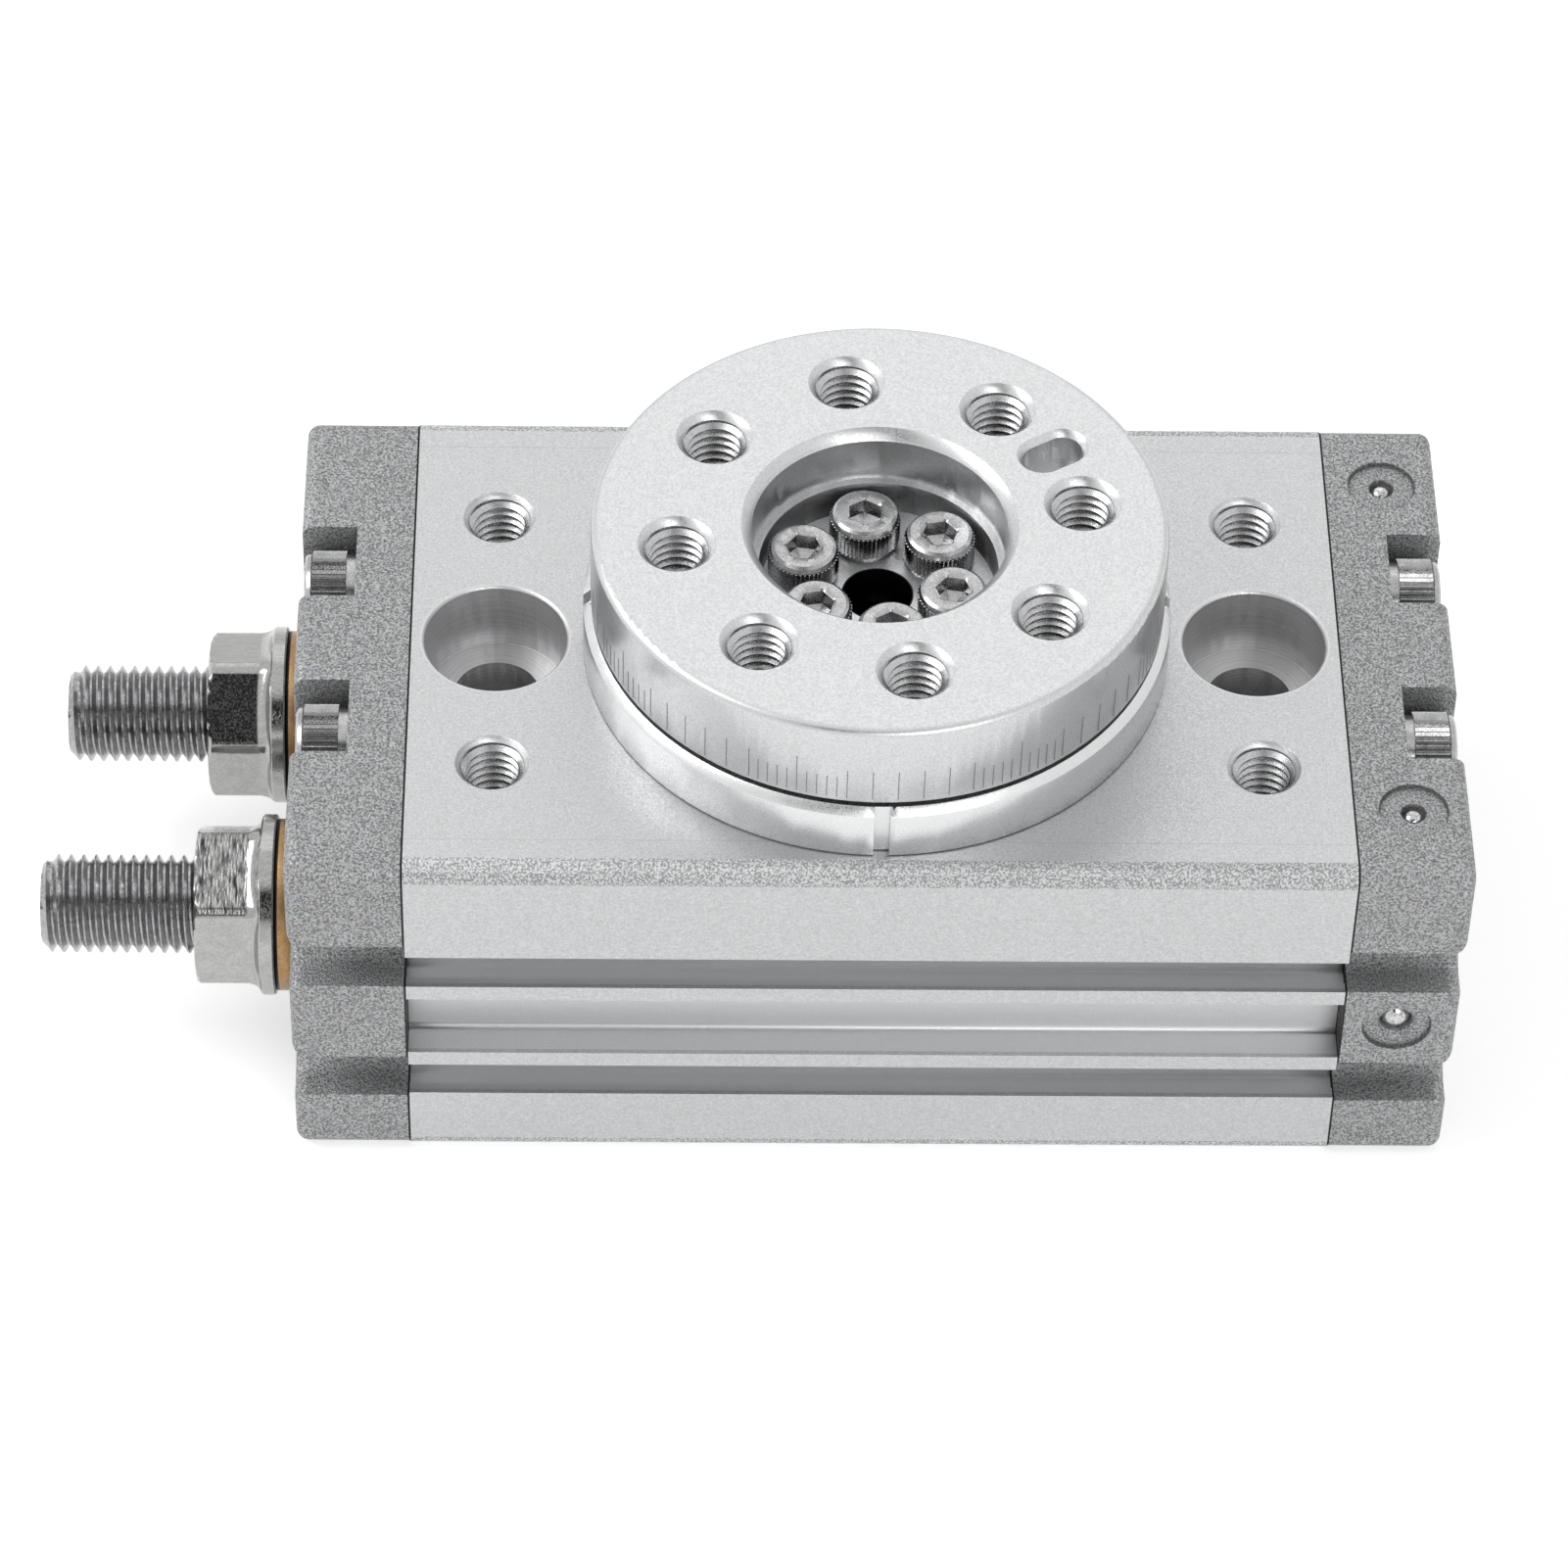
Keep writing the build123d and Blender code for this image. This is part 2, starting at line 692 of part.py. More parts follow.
def ring_stations():
    """Station, width and groove depth of the seal and the wear ring."""
    return ((seal_station, seal_width, seal_depth), (wear_ring_station, wear_ring_width, wear_ring_depth))


def back_piston_rings(station, width, groove):
    """The pair of like rings near the two ends of the back piston."""
    rings = []
    for end in (-1, 1):
        low = end * station - width / 2
        outer = bore_radius - ring_bore_clearance
        rings.append(ring_x(bore_y, bore_height, outer, bore_radius - groove, low, low + width))
    return group(rings)


def back_magnet():
    """The magnet that the position sensors see, let into the piston's +X end."""
    half = piston_length / 2
    return rod_x(bore_y, bore_height, magnet_radius, half - magnet_length, half)


def to_front(part):
    """A part of the back piston as it lies at the front: turned over about X."""
    middle = Pos(0, 0, bore_height)
    return middle * Rot(180, 0, 0) * Pos(0, 0, -bore_height) * part


def pad_face_x(where):
    """The station at which a cushion pad stops its piston."""
    return -(piston_length / 2 + stop_travel[where] + pad_gap)


def adjusting_bolt(where):
    """The threaded bolt that sets one end of the table's swing."""
    y = side_sign[where] * adjuster_y
    inner = pad_face_x(where) - pad_thickness - pad_gap
    outer = inner - bolt_length
    bolt = rod_x(y, bore_height, bolt_radius, outer, inner)
    bolt = chamfer(bolt.edges().filter_by(GeomType.CIRCLE), bolt_end_chamfer)
    socket = Rot(0, 90, 0) * hexagon_z(bolt_socket_width, -reach, bolt_socket_depth)
    bolt -= Pos(outer, y, bore_height) * socket
    bolt -= rod_x(y, bore_height, pad_stem_radius, inner - pad_stem_length - pad_stem_end_gap, inner + reach)
    return bolt


def cushion_pad(where):
    """The elastic pad in the inner end of an adjusting bolt."""
    y = side_sign[where] * adjuster_y
    face = pad_face_x(where)
    head = rod_x(y, bore_height, pad_radius, face - pad_thickness, face)
    stem = pad_stem_radius - pad_stem_gap
    return head + rod_x(y, bore_height, stem, face - pad_thickness - pad_stem_length, face)


def seal_washer(where):
    """The bonded washer between a lock nut and the cover."""
    y = side_sign[where] * adjuster_y
    bore = bolt_radius + washer_bore_gap
    return ring_x(y, bore_height, washer_radius, bore, -cover_x - washer_thickness, -cover_x)


def lock_nut(where):
    """The flanged hexagon nut that locks an adjusting bolt."""
    y = side_sign[where] * adjuster_y
    seat = -cover_x - washer_thickness
    face = seat - flange_thickness
    outer = face - nut_height
    prism = Rot(0, 90, 0) * hexagon_z(nut_across_flats, 0, nut_height)
    prism = Rot(nut_turns[where], 0, 0) * prism
    trim = rod_x(0, 0, nut_corner_radius, 0, nut_height)
    trim = chamfer(trim.faces().sort_by(Axis.X)[0].edges(), nut_corner_chamfer)
    hexagon = Pos(outer, y, bore_height) * (prism & trim)
    skirt = Rot(0, 90, 0) * Cone(nut_across_flats / 2, nut_skirt_radius, nut_skirt_height)
    skirt = Pos(face - nut_skirt_height / 2, y, bore_height) * skirt
    flange = rod_x(y, bore_height, flange_radius, face, seat)
    hole = bolt_radius + bolt_bore_gap
    return hexagon + skirt + flange - rod_x(y, bore_height, hole, outer - reach, seat + reach)


def table_hole_places():
    """The X and Y of the table's threaded holes."""
    step = 360 / table_hole_count
    first = table_first_hole + table_phase
    return [on_circle(table_hole_circle, first - step * k) for k in range(table_hole_count)]


def table_screw_places():
    """The X and Y of the screws that fix the table to the pinion."""
    step = 360 / table_screw_count
    first = table_first_hole + table_phase
    return [on_circle(table_screw_circle, first - step * k) for k in range(table_screw_count)]


def table():
    """The turned table with its hub, centring bore and fastening holes."""
    plate = rod_z(0, 0, table_radius, table_base_z, table_top_z)
    plate = fillet(plate.faces().sort_by(Axis.Z)[-1].edges(), table_edge_radius)
    plate += rod_z(0, 0, hub_radius, body_height + hub_clamp_height, table_base_z)
    plate += rod_z(0, 0, hub_clamp_radius, body_height, body_height + hub_clamp_height)
    plate -= rod_z(0, 0, upper_inner_radius, body_height - reach, spigot_top_z)
    plate -= rod_z(0, 0, hollow_radius, spigot_top_z - reach, head_seat_z + reach)
    plate -= rod_z(0, 0, screw_well_radius, head_seat_z, table_top_z + reach)
    plate -= rod_z(0, 0, table_bore_radius, table_top_z - table_bore_depth, table_top_z + reach)
    mouth = table_bore_radius + table_bore_chamfer
    plate -= countersink(0, 0, table_top_z, table_bore_radius, mouth)
    for x, y in table_hole_places():
        plate -= rod_z(x, y, m5_radius, table_base_z - reach, table_top_z + reach)
        plate -= countersink(x, y, table_top_z, m5_radius, table_mouth_radius)
    for x, y in table_screw_places():
        plate -= rod_z(x, y, m3_radius + screw_clearance, spigot_top_z - reach, head_seat_z + reach)
    x, y = on_circle(dowel_circle, dowel_angle + table_phase)
    plate -= rod_z(x, y, dowel_radius, spigot_top_z - reach, head_seat_z + reach)
    return plate - locating_slot()


def locating_slot():
    """The radial slot for a locating pin, with its chamfered mouth."""
    run = SlotOverall(slot_length, 2 * slot_half_width)
    floor = table_top_z - slot_depth
    cutter = extrude(Plane.XY.offset(floor) * run, amount=slot_depth + reach)
    wide = SlotOverall(slot_length + 2 * slot_chamfer, 2 * (slot_half_width + slot_chamfer))
    low = Plane.XY.offset(table_top_z - slot_chamfer) * run
    high = Plane.XY.offset(table_top_z) * wide
    cutter += loft([low, high])
    return Rot(0, 0, slot_angle + table_phase) * Pos(table_hole_circle, 0, 0) * cutter


def table_screws():
    """The socket head screws that clamp the table on the pinion."""
    screws = []
    for x, y in table_screw_places():
        low = spigot_top_z - m3_engagement
        top = head_seat_z + m3_head_height
        head = rod_z(x, y, m3_head_radius, head_seat_z, top)
        head = chamfer(head.faces().sort_by(Axis.Z)[-1].edges(), head_edge_chamfer)
        shank = rod_z(x, y, m3_radius - m3_shank_gap, low, head_seat_z)
        socket = Pos(x, y, 0) * hexagon_z(m3_socket_width, top - m3_socket_depth, top + reach)
        screws.append(head + shank - socket)
    return group(screws)


def dowel_pin():
    """The parallel pin that fixes the table's angle on the pinion."""
    x, y = on_circle(dowel_circle, dowel_angle + table_phase)
    return rod_z(x, y, dowel_radius, head_seat_z - dowel_length, head_seat_z)


def all_parts():
    """Every piece of the actuator under its own name."""
    upper_pitch = (upper_inner_radius + upper_outer_radius) / 2
    lower_pitch = (lower_inner_radius + lower_outer_radius) / 2
    upper = bearing_rings(upper_inner_radius, upper_outer_radius, upper_land,
                          upper_ball_radius, upper_seat_z, upper_width)
    lower = bearing_rings(lower_inner_radius, lower_outer_radius, lower_land,
                          lower_ball_radius, lower_bearing_base, lower_width)
    parts = {
        "housing": housing(),
        "adjuster_cover": adjuster_cover(),
        "port_cover": port_cover(),
        "adjuster_cover_gasket": gasket(-1),
        "port_cover_gasket": gasket(1),
        "adjuster_cover_screws": cover_screws(-1),
        "port_cover_screws": cover_screws(1),
        "passage_balls": passage_balls(),
        "bearing_retainer": bearing_retainer(),
        "retainer_screws": retainer_screws(),
        "upper_bearing_outer_ring": upper[1],
        "upper_bearing_inner_ring": upper[0],
        "upper_bearing_balls": bearing_balls(upper_pitch, upper_ball_radius, upper_ball_count, upper_ball_z),
        "upper_bearing_cage": bearing_cage(upper_pitch, upper_ball_radius, upper_ball_count,
                                           upper_ball_z, cage_thickness),
        "lower_bearing_outer_ring": lower[1],
        "lower_bearing_inner_ring": lower[0],
        "lower_bearing_balls": bearing_balls(lower_pitch, lower_ball_radius, lower_ball_count, lower_ball_z),
        "lower_bearing_cage": bearing_cage(lower_pitch, lower_ball_radius, lower_ball_count,
                                           lower_ball_z, lower_cage_thickness),
        "lower_snap_ring": snap_ring(),
        "table": table(),
        "table_screws": table_screws(),
        "table_dowel_pin": dowel_pin(),
        "pinion": pinion(),
    }
    back = {
        "rack_piston": back_rack_piston(),
        "piston_seals": back_piston_rings(seal_station, seal_width, seal_depth),
        "wear_rings": back_piston_rings(wear_ring_station, wear_ring_width, wear_ring_depth),
        "piston_magnet": back_magnet(),
    }
    for name, part in back.items():
        parts["back_" + name] = part
        parts["front_" + name] = to_front(part)
    for where in ("front", "back"):
        parts[where + "_adjusting_bolt"] = adjusting_bolt(where)
        parts[where + "_cushion_pad"] = cushion_pad(where)
        parts[where + "_seal_washer"] = seal_washer(where)
        parts[where + "_lock_nut"] = lock_nut(where)
    return parts


os.makedirs("parts", exist_ok=True)
for name, part in all_parts().items():
    export_step(part, "parts/" + name + ".step")
    print(name, round(part.volume, 3))
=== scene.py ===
import bpy
import bmesh
import math
from mathutils import Matrix, Vector


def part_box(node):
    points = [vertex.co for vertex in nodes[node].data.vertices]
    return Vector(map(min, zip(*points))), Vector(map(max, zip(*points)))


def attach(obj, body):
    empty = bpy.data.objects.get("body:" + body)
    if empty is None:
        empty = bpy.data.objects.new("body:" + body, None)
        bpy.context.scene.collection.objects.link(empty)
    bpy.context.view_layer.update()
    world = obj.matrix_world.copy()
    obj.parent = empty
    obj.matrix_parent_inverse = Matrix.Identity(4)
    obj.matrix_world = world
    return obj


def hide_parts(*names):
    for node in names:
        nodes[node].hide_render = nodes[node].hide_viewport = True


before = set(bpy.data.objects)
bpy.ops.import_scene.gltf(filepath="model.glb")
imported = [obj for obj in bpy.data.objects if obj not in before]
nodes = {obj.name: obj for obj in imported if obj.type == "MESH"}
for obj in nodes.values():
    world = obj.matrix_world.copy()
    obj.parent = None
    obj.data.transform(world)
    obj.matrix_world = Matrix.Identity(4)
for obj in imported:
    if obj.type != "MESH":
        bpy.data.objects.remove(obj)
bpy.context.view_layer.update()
mm = 0.001

# Extruded body
# An aluminium extrusion, cut to length, fine blasted and anodised in natural silver. Its long
# corners carry painted speckled highlights and its recessed faces are painted lighter as
# painted light; the milled counterbores show the tool's rings.
extrusion_silver = (0.605, 0.61, 0.615)
extrusion_shadow = (0.455, 0.46, 0.465)
extrusion_roughness = 0.40
draw_grain_size = 0.22
draw_grain_stretch = (1.4, 1.0, 1.0)
pearl_size = 0.14
pearl_relief = 0.006
grain_contrast = 0.12
marks_low = 0.3
marks_high = 0.7
roughness_below = 0.05
roughness_above = 0.08
level_limit = 0.25
groove_painted_light = (0.66, 0.665, 0.67)
groove_reach = 24.6
groove_skin = 0.2
corner_highlight_bright = (0.72, 0.725, 0.73)
corner_highlight_dark = (0.28, 0.28, 0.285)
corner_roughness = 0.75
corner_share = 0.7
body_corner_reach = 40.0
body_middle_height = 16.5
speck_size = 0.17
speck_low = 0.44
speck_high = 0.56
hairline_place = 21.6
hairline_half = 0.05
hairline_share = 0.9
counterbore_x = 30.0
counterbore_reach = 5.95
counterbore_pitch = 0.16
counterbore_grey = (0.78, 0.78, 0.785)
counterbore_dark = (0.48, 0.48, 0.485)
body_edge_break = 0.12
sharp_angle = 28.0
flat_angle = 0.3
weld_reach = 0.0005
body_half_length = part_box("housing")[1][0] / mm
joint_inside = 0.05
joint_outside = 1.0
joint_shadow = (0.03, 0.03, 0.031)


def new_group(name, sockets):
    """An empty shader group with its named inputs and outputs."""
    group = bpy.data.node_groups.new(name, "ShaderNodeTree")
    for label, way, kind, value in sockets:
        socket = group.interface.new_socket(name=label, in_out=way,
                                            socket_type="NodeSocket" + kind)
        if value is not None:
            socket.default_value = value
    return group, group.nodes.new("NodeGroupInput"), group.nodes.new("NodeGroupOutput")


def arithmetic(tree, kind, operation, values):
    """One arithmetic node; sockets among the values are linked, numbers are set."""
    node = tree.nodes.new(kind)
    node.operation = operation
    for socket, value in zip(node.inputs, values):
        if isinstance(value, bpy.types.NodeSocket):
            tree.links.new(value, socket)
        else:
            socket.default_value = value
    return node


def join(tree, operation, *values):
    """A number or mask worked out by one step of arithmetic."""
    return arithmetic(tree, "ShaderNodeMath", operation, values).outputs[0]


def join_vectors(tree, operation, *values):
    """A vector worked out by one step of arithmetic."""
    return arithmetic(tree, "ShaderNodeVectorMath", operation, values).outputs["Vector"]


def blend(tree, share, first, second):
    """A colour between two others, by a mask."""
    mix = tree.nodes.new("ShaderNodeMix")
    mix.data_type = "RGBA"
    tree.links.new(share, mix.inputs[0])
    for socket, value in ((mix.inputs[6], first), (mix.inputs[7], second)):
        if isinstance(value, tuple):
            socket.default_value = (*value, 1.0)
        else:
            tree.links.new(value, socket)
    return mix.outputs[2]


def point_axes(tree):
    """The X, Y and Z of the shaded point in its piece's own frame, in metres."""
    place = tree.nodes.new("ShaderNodeTexCoord")
    split = tree.nodes.new("ShaderNodeSeparateXYZ")
    tree.links.new(place.outputs["Object"], split.inputs[0])
    return split.outputs


def grain_group():
    """Noise of a given size in millimetres, stretched along the three axes."""
    group, inward, outward = new_group("metal_grain", (
        ("Size", "INPUT", "Float", 1.0), ("Stretch", "INPUT", "Vector", (1.0, 1.0, 1.0)),
        ("Low", "INPUT", "Float", 0.3), ("High", "INPUT", "Float", 0.7),
        ("Value", "OUTPUT", "Float", None)))
    link = group.links.new
    place = group.nodes.new("ShaderNodeTexCoord")
    noise = group.nodes.new("ShaderNodeTexNoise")
    noise.inputs["Detail"].default_value = 3.0
    link(join_vectors(group, "DIVIDE", place.outputs["Object"], inward.outputs["Stretch"]),
         noise.inputs["Vector"])
    link(join(group, "DIVIDE", 1 / mm, inward.outputs["Size"]), noise.inputs["Scale"])
    spread = group.nodes.new("ShaderNodeMapRange")
    link(noise.outputs["Fac"], spread.inputs["Value"])
    link(inward.outputs["Low"], spread.inputs["From Min"])
    link(inward.outputs["High"], spread.inputs["From Max"])
    link(spread.outputs["Result"], outward.inputs["Value"])
    return group


def tint_group():
    """A colour that goes from one tone to another by the mean of two masks."""
    group, inward, outward = new_group("tone_by_masks", (
        ("Light", "INPUT", "Color", (0.8, 0.8, 0.8, 1.0)),
        ("Dark", "INPUT", "Color", (0.5, 0.5, 0.5, 1.0)),
        ("First", "INPUT", "Float", 0.5), ("Second", "INPUT", "Float", 0.5),
        ("Color", "OUTPUT", "Color", None)))
    half_second = join(group, "MULTIPLY", inward.outputs["Second"], 0.5)
    share = join(group, "MULTIPLY_ADD", inward.outputs["First"], 0.5, half_second)
    share.node.use_clamp = True
    tone = blend(group, share, inward.outputs["Light"], inward.outputs["Dark"])
    group.links.new(tone, outward.inputs["Color"])
    return group


def span_group():
    """A value between two ends, chosen by a mask."""
    group, inward, outward = new_group("value_by_mask", (
        ("Mask", "INPUT", "Float", 0.5), ("From", "INPUT", "Float", 0.3),
        ("To", "INPUT", "Float", 0.5), ("Value", "OUTPUT", "Float", None)))
    spread = group.nodes.new("ShaderNodeMapRange")
    group.links.new(inward.outputs["Mask"], spread.inputs["Value"])
    group.links.new(inward.outputs["From"], spread.inputs["To Min"])
    group.links.new(inward.outputs["To"], spread.inputs["To Max"])
    group.links.new(spread.outputs["Result"], outward.inputs["Value"])
    return group


def rings_group():
    """A tool's rings round an axis, and a mask inside a radius, both in millimetres.

    Keep holds a one for each axis along which the distance counts, else a zero."""
    group, inward, outward = new_group("rings_round_axis", (
        ("Centre", "INPUT", "Vector", (0.0, 0.0, 0.0)),
        ("Keep", "INPUT", "Vector", (1.0, 1.0, 0.0)),
        ("Radius", "INPUT", "Float", 5.0), ("Pitch", "INPUT", "Float", 0.2),
        ("Rings", "OUTPUT", "Float", None), ("Mask", "OUTPUT", "Float", None)))
    link = group.links.new
    place = group.nodes.new("ShaderNodeTexCoord")
    spot = join_vectors(group, "MULTIPLY", place.outputs["Object"], (1 / mm, 1 / mm, 1 / mm))
    away = join_vectors(group, "SUBTRACT", spot, inward.outputs["Centre"])
    kept = join_vectors(group, "MULTIPLY", away, inward.outputs["Keep"])
    far = arithmetic(group, "ShaderNodeVectorMath", "LENGTH", (kept,)).outputs["Value"]
    noise = group.nodes.new("ShaderNodeTexNoise")
    noise.noise_dimensions = "1D"
    noise.inputs["Scale"].default_value = 1.0
    noise.inputs["Detail"].default_value = 2.0
    link(join(group, "DIVIDE", far, inward.outputs["Pitch"]), noise.inputs["W"])
    link(noise.outputs["Fac"], outward.inputs["Rings"])
    link(join(group, "LESS_THAN", far, inward.outputs["Radius"]), outward.inputs["Mask"])
    return group


def corner_group():
    """Masks for a bar that lies along X: its long corners, its hairlines and its grooves."""
    group, inward, outward = new_group("bar_corners", (
        ("Middle", "INPUT", "Float", 16.5), ("Reach", "INPUT", "Float", 40.0),
        ("Line", "INPUT", "Float", 21.6), ("Half", "INPUT", "Float", 0.05),
        ("Inner", "INPUT", "Float", 24.6), ("Corner", "OUTPUT", "Float", None),
        ("Hairline", "OUTPUT", "Float", None), ("Groove", "OUTPUT", "Float", None)))
    link = group.links.new
    given = inward.outputs
    axes = point_axes(group)
    across = join(group, "ABSOLUTE", join(group, "DIVIDE", axes["Y"], mm))
    height = join(group, "SUBTRACT", join(group, "DIVIDE", axes["Z"], mm), given["Middle"])
    from_middle = join(group, "ABSOLUTE", height)
    total = join(group, "ADD", across, from_middle)
    link(join(group, "GREATER_THAN", total, given["Reach"]), outward.inputs["Corner"])
    away = join(group, "ABSOLUTE", join(group, "SUBTRACT", across, given["Line"]))
    on_line = join(group, "LESS_THAN", away, given["Half"])
    upper = join(group, "GREATER_THAN", height, 0.0)
    link(join(group, "MULTIPLY", on_line, upper), outward.inputs["Hairline"])
    within = join(group, "LESS_THAN", across, given["Inner"])
    under_skin = join(group, "SUBTRACT", given["Middle"], groove_skin)
    inside = join(group, "LESS_THAN", from_middle, under_skin)
    link(join(group, "MULTIPLY", within, inside), outward.inputs["Groove"])
    return group


def band_group():
    """One where the distance from the middle along X lies between two values in millimetres."""
    group, inward, outward = new_group("band_along_x", (
        ("Low", "INPUT", "Float", 0.0), ("High", "INPUT", "Float", 1.0),
        ("Mask", "OUTPUT", "Float", None)))
    away = join(group, "DIVIDE", join(group, "ABSOLUTE", point_axes(group)["X"]), mm)
    over = join(group, "GREATER_THAN", away, inward.outputs["Low"])
    under = join(group, "LESS_THAN", away, inward.outputs["High"])
    group.links.new(join(group, "MULTIPLY", over, under), outward.inputs["Mask"])
    return group


metal_grain = grain_group()
band_along_x = band_group()
tone_by_masks = tint_group()
value_by_mask = span_group()
rings_round_axis = rings_group()
bar_corners = corner_group()


def start_finish(name):
    """A new material and its node tree."""
    material = bpy.data.materials.new(name)
    material.use_nodes = True
    return material, material.node_tree


def open_finish(material):
    """A finish's node tree, its shader and the socket that gives its colour."""
    tree = material.node_tree
    shader = tree.nodes["Principled BSDF"]
    return tree, shader, shader.inputs["Base Color"].links[0].from_socket


def place_group(tree, group, **values):
    """One of the groups in a material's tree, with its own values."""
    node = tree.nodes.new("ShaderNodeGroup")
    node.node_tree = group
    for label, value in values.items():
        node.inputs[label].default_value = value
    return node


def place_mask(tree, group, **values):
    """The mask of one of the groups, with its own values."""
    return place_group(tree, group, **values).outputs["Mask"]


def wire_finish(tree, tones, tone_masks, roughness, rough_mask, relief, height,
                metallic=1.0, strength=1.0):
    """Feeds the shader: colour by two masks, roughness by one, relief in mm by another."""
    shader = tree.nodes["Principled BSDF"]
    light, dark = tones
    tone = place_group(tree, tone_by_masks, Light=(*light, 1.0), Dark=(*dark, 1.0))
    rough = place_group(tree, value_by_mask, From=roughness[0], To=roughness[1])
    bump = tree.nodes.new("ShaderNodeBump")
    bump.inputs["Strength"].default_value = strength
    bump.inputs["Distance"].default_value = relief * mm
    shader.inputs["Metallic"].default_value = metallic
    for source, target in (
            (tone_masks[0], tone.inputs["First"]), (tone_masks[1], tone.inputs["Second"]),
            (rough_mask, rough.inputs["Mask"]), (height, bump.inputs["Height"]),
            (tone.outputs[0], shader.inputs["Base Color"]),
            (rough.outputs[0], shader.inputs["Roughness"]),
            (bump.outputs[0], shader.inputs["Normal"])):
        tree.links.new(source, target)


def finish_metal(name, tones, roughness, marks, grain, relief,
                 stretch=(1.0, 1.0, 1.0), metallic=1.0):
    """A metal with two grain fields: a coarse one for tool marks, a fine one for its skin."""
    material, tree = start_finish(name)
    coarse = place_group(tree, metal_grain, Size=marks, Stretch=stretch, Low=marks_low,
                         High=marks_high)
    fine = place_group(tree, metal_grain, Size=grain, Low=0.5 - grain_contrast,
                       High=0.5 + grain_contrast).outputs[0]
    wire_finish(tree, tones, (coarse.outputs[0], fine),
                (roughness - roughness_below, roughness + roughness_above), fine,
                relief, fine, metallic)
    return material


def shade_where(material, mask, shade):
    """Lays another colour over a finish where a mask is one."""
    tree, shader, colour = open_finish(material)
    tree.links.new(blend(tree, mask, colour, shade), shader.inputs["Base Color"])


def dress(obj, material):
    """Gives a piece one finish all over."""
    obj.data.materials.clear()
    obj.data.materials.append(material)


def break_edges(name, width):
    """Small chamfers along the sharp edges of a node, as a deburring tool leaves them."""
    obj = nodes[name]
    weld = obj.modifiers.new("weld", "WELD")
    weld.merge_threshold = weld_reach * mm
    flat = obj.modifiers.new("flat", "DECIMATE")
    flat.decimate_type = "DISSOLVE"
    flat.angle_limit = math.radians(flat_angle)
    edge = obj.modifiers.new("edge", "BEVEL")
    edge.width = width * mm
    edge.segments = 2
    edge.limit_method = "ANGLE"
    edge.angle_limit = math.radians(sharp_angle)
    edge.harden_normals = True
    edge.use_clamp_overlap = True


def turned_rings(tree, centre, pitch):
    """A tool's rings round an upright axis: round it on level faces, and up the walls.

    A face counts as level where its normal's Z, squared, is above the limit."""
    level = place_group(tree, rings_round_axis, Centre=centre, Pitch=pitch).outputs["Rings"]
    wall = place_group(tree, rings_round_axis, Keep=(0.0, 0.0, 1.0), Pitch=pitch)
    wall = wall.outputs["Rings"]
    facing = tree.nodes.new("ShaderNodeNewGeometry")
    split = tree.nodes.new("ShaderNodeSeparateXYZ")
    tree.links.new(facing.outputs["Normal"], split.inputs[0])
    steep = join(tree, "POWER", split.outputs["Z"], 2.0)
    lying = join(tree, "GREATER_THAN", steep, level_limit)
    change = join(tree, "MULTIPLY", lying, join(tree, "SUBTRACT", level, wall))
    return join(tree, "ADD", wall, change)


def finish_extrusion():
    """Drawn grain, hairlines, ringed bores, painted corner highlights and painted light in
    grooves.
    """
    material = finish_metal("satin_extrusion", (extrusion_silver, extrusion_shadow),
                            extrusion_roughness, draw_grain_size, pearl_size, pearl_relief,
                            draw_grain_stretch)
    tree, shader, colour = open_finish(material)
    bar = place_group(tree, bar_corners, Middle=body_middle_height, Reach=body_corner_reach,
                      Line=hairline_place, Half=hairline_half, Inner=groove_reach).outputs
    rough = shader.inputs["Roughness"].links[0].from_socket
    satin = place_group(tree, value_by_mask, From=0.0, To=corner_roughness)
    tree.links.new(bar["Corner"], satin.inputs["Mask"])
    tree.links.new(join(tree, "MAXIMUM", rough, satin.outputs[0]), shader.inputs["Roughness"])
    # Painted speckled highlights along the long rounded corners.
    specks = place_group(tree, metal_grain, Size=speck_size, Low=speck_low, High=speck_high)
    corner_highlight = blend(tree, specks.outputs[0], corner_highlight_bright, corner_highlight_dark)
    corner = join(tree, "MULTIPLY", bar["Corner"], corner_share)
    hairline = join(tree, "MULTIPLY", bar["Hairline"], hairline_share)
    # Recessed faces are painted a lighter plain tone, a painted light.
    colour = blend(tree, bar["Groove"], colour, groove_painted_light)
    colour = blend(tree, corner, colour, corner_highlight)
    colour = blend(tree, hairline, colour, extrusion_shadow)
    upper_half = join(tree, "GREATER_THAN", point_axes(tree)["Z"], body_middle_height * mm)
    for side in (-1, 1):
        centre = (side * counterbore_x, 0.0, 0.0)
        bore = place_mask(tree, rings_round_axis, Centre=centre, Radius=counterbore_reach)
        rings = turned_rings(tree, centre, counterbore_pitch)
        ringed = blend(tree, rings, counterbore_dark, counterbore_grey)
        colour = blend(tree, join(tree, "MULTIPLY", bore, upper_half), colour, ringed)
    joint = place_mask(tree, band_along_x, Low=body_half_length - joint_inside,
                       High=body_half_length + joint_outside)
    tree.links.new(blend(tree, joint, colour, joint_shadow), shader.inputs["Base Color"])
    return material


extrusion_finish = finish_extrusion()
dress(nodes["housing"], extrusion_finish)
break_edges("housing", body_edge_break)

# Threads of the body's M5 holes
# Four blind holes in the body's top, tapped in the aluminium after anodising, so that the
# flanks are bare bright metal.
m5_major = 2.5
m5_pitch = 0.8
m5_ridge = 0.43
tap_bright = (0.62, 0.625, 0.63)
tap_shadow = (0.42, 0.42, 0.43)
thread_gap = 0.01
turn_steps = 40
body_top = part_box("housing")[1][2] / mm
body_hole_x = 30.0
body_hole_y = 13.5
body_thread_depth = 9.4
body_countersink = 0.4


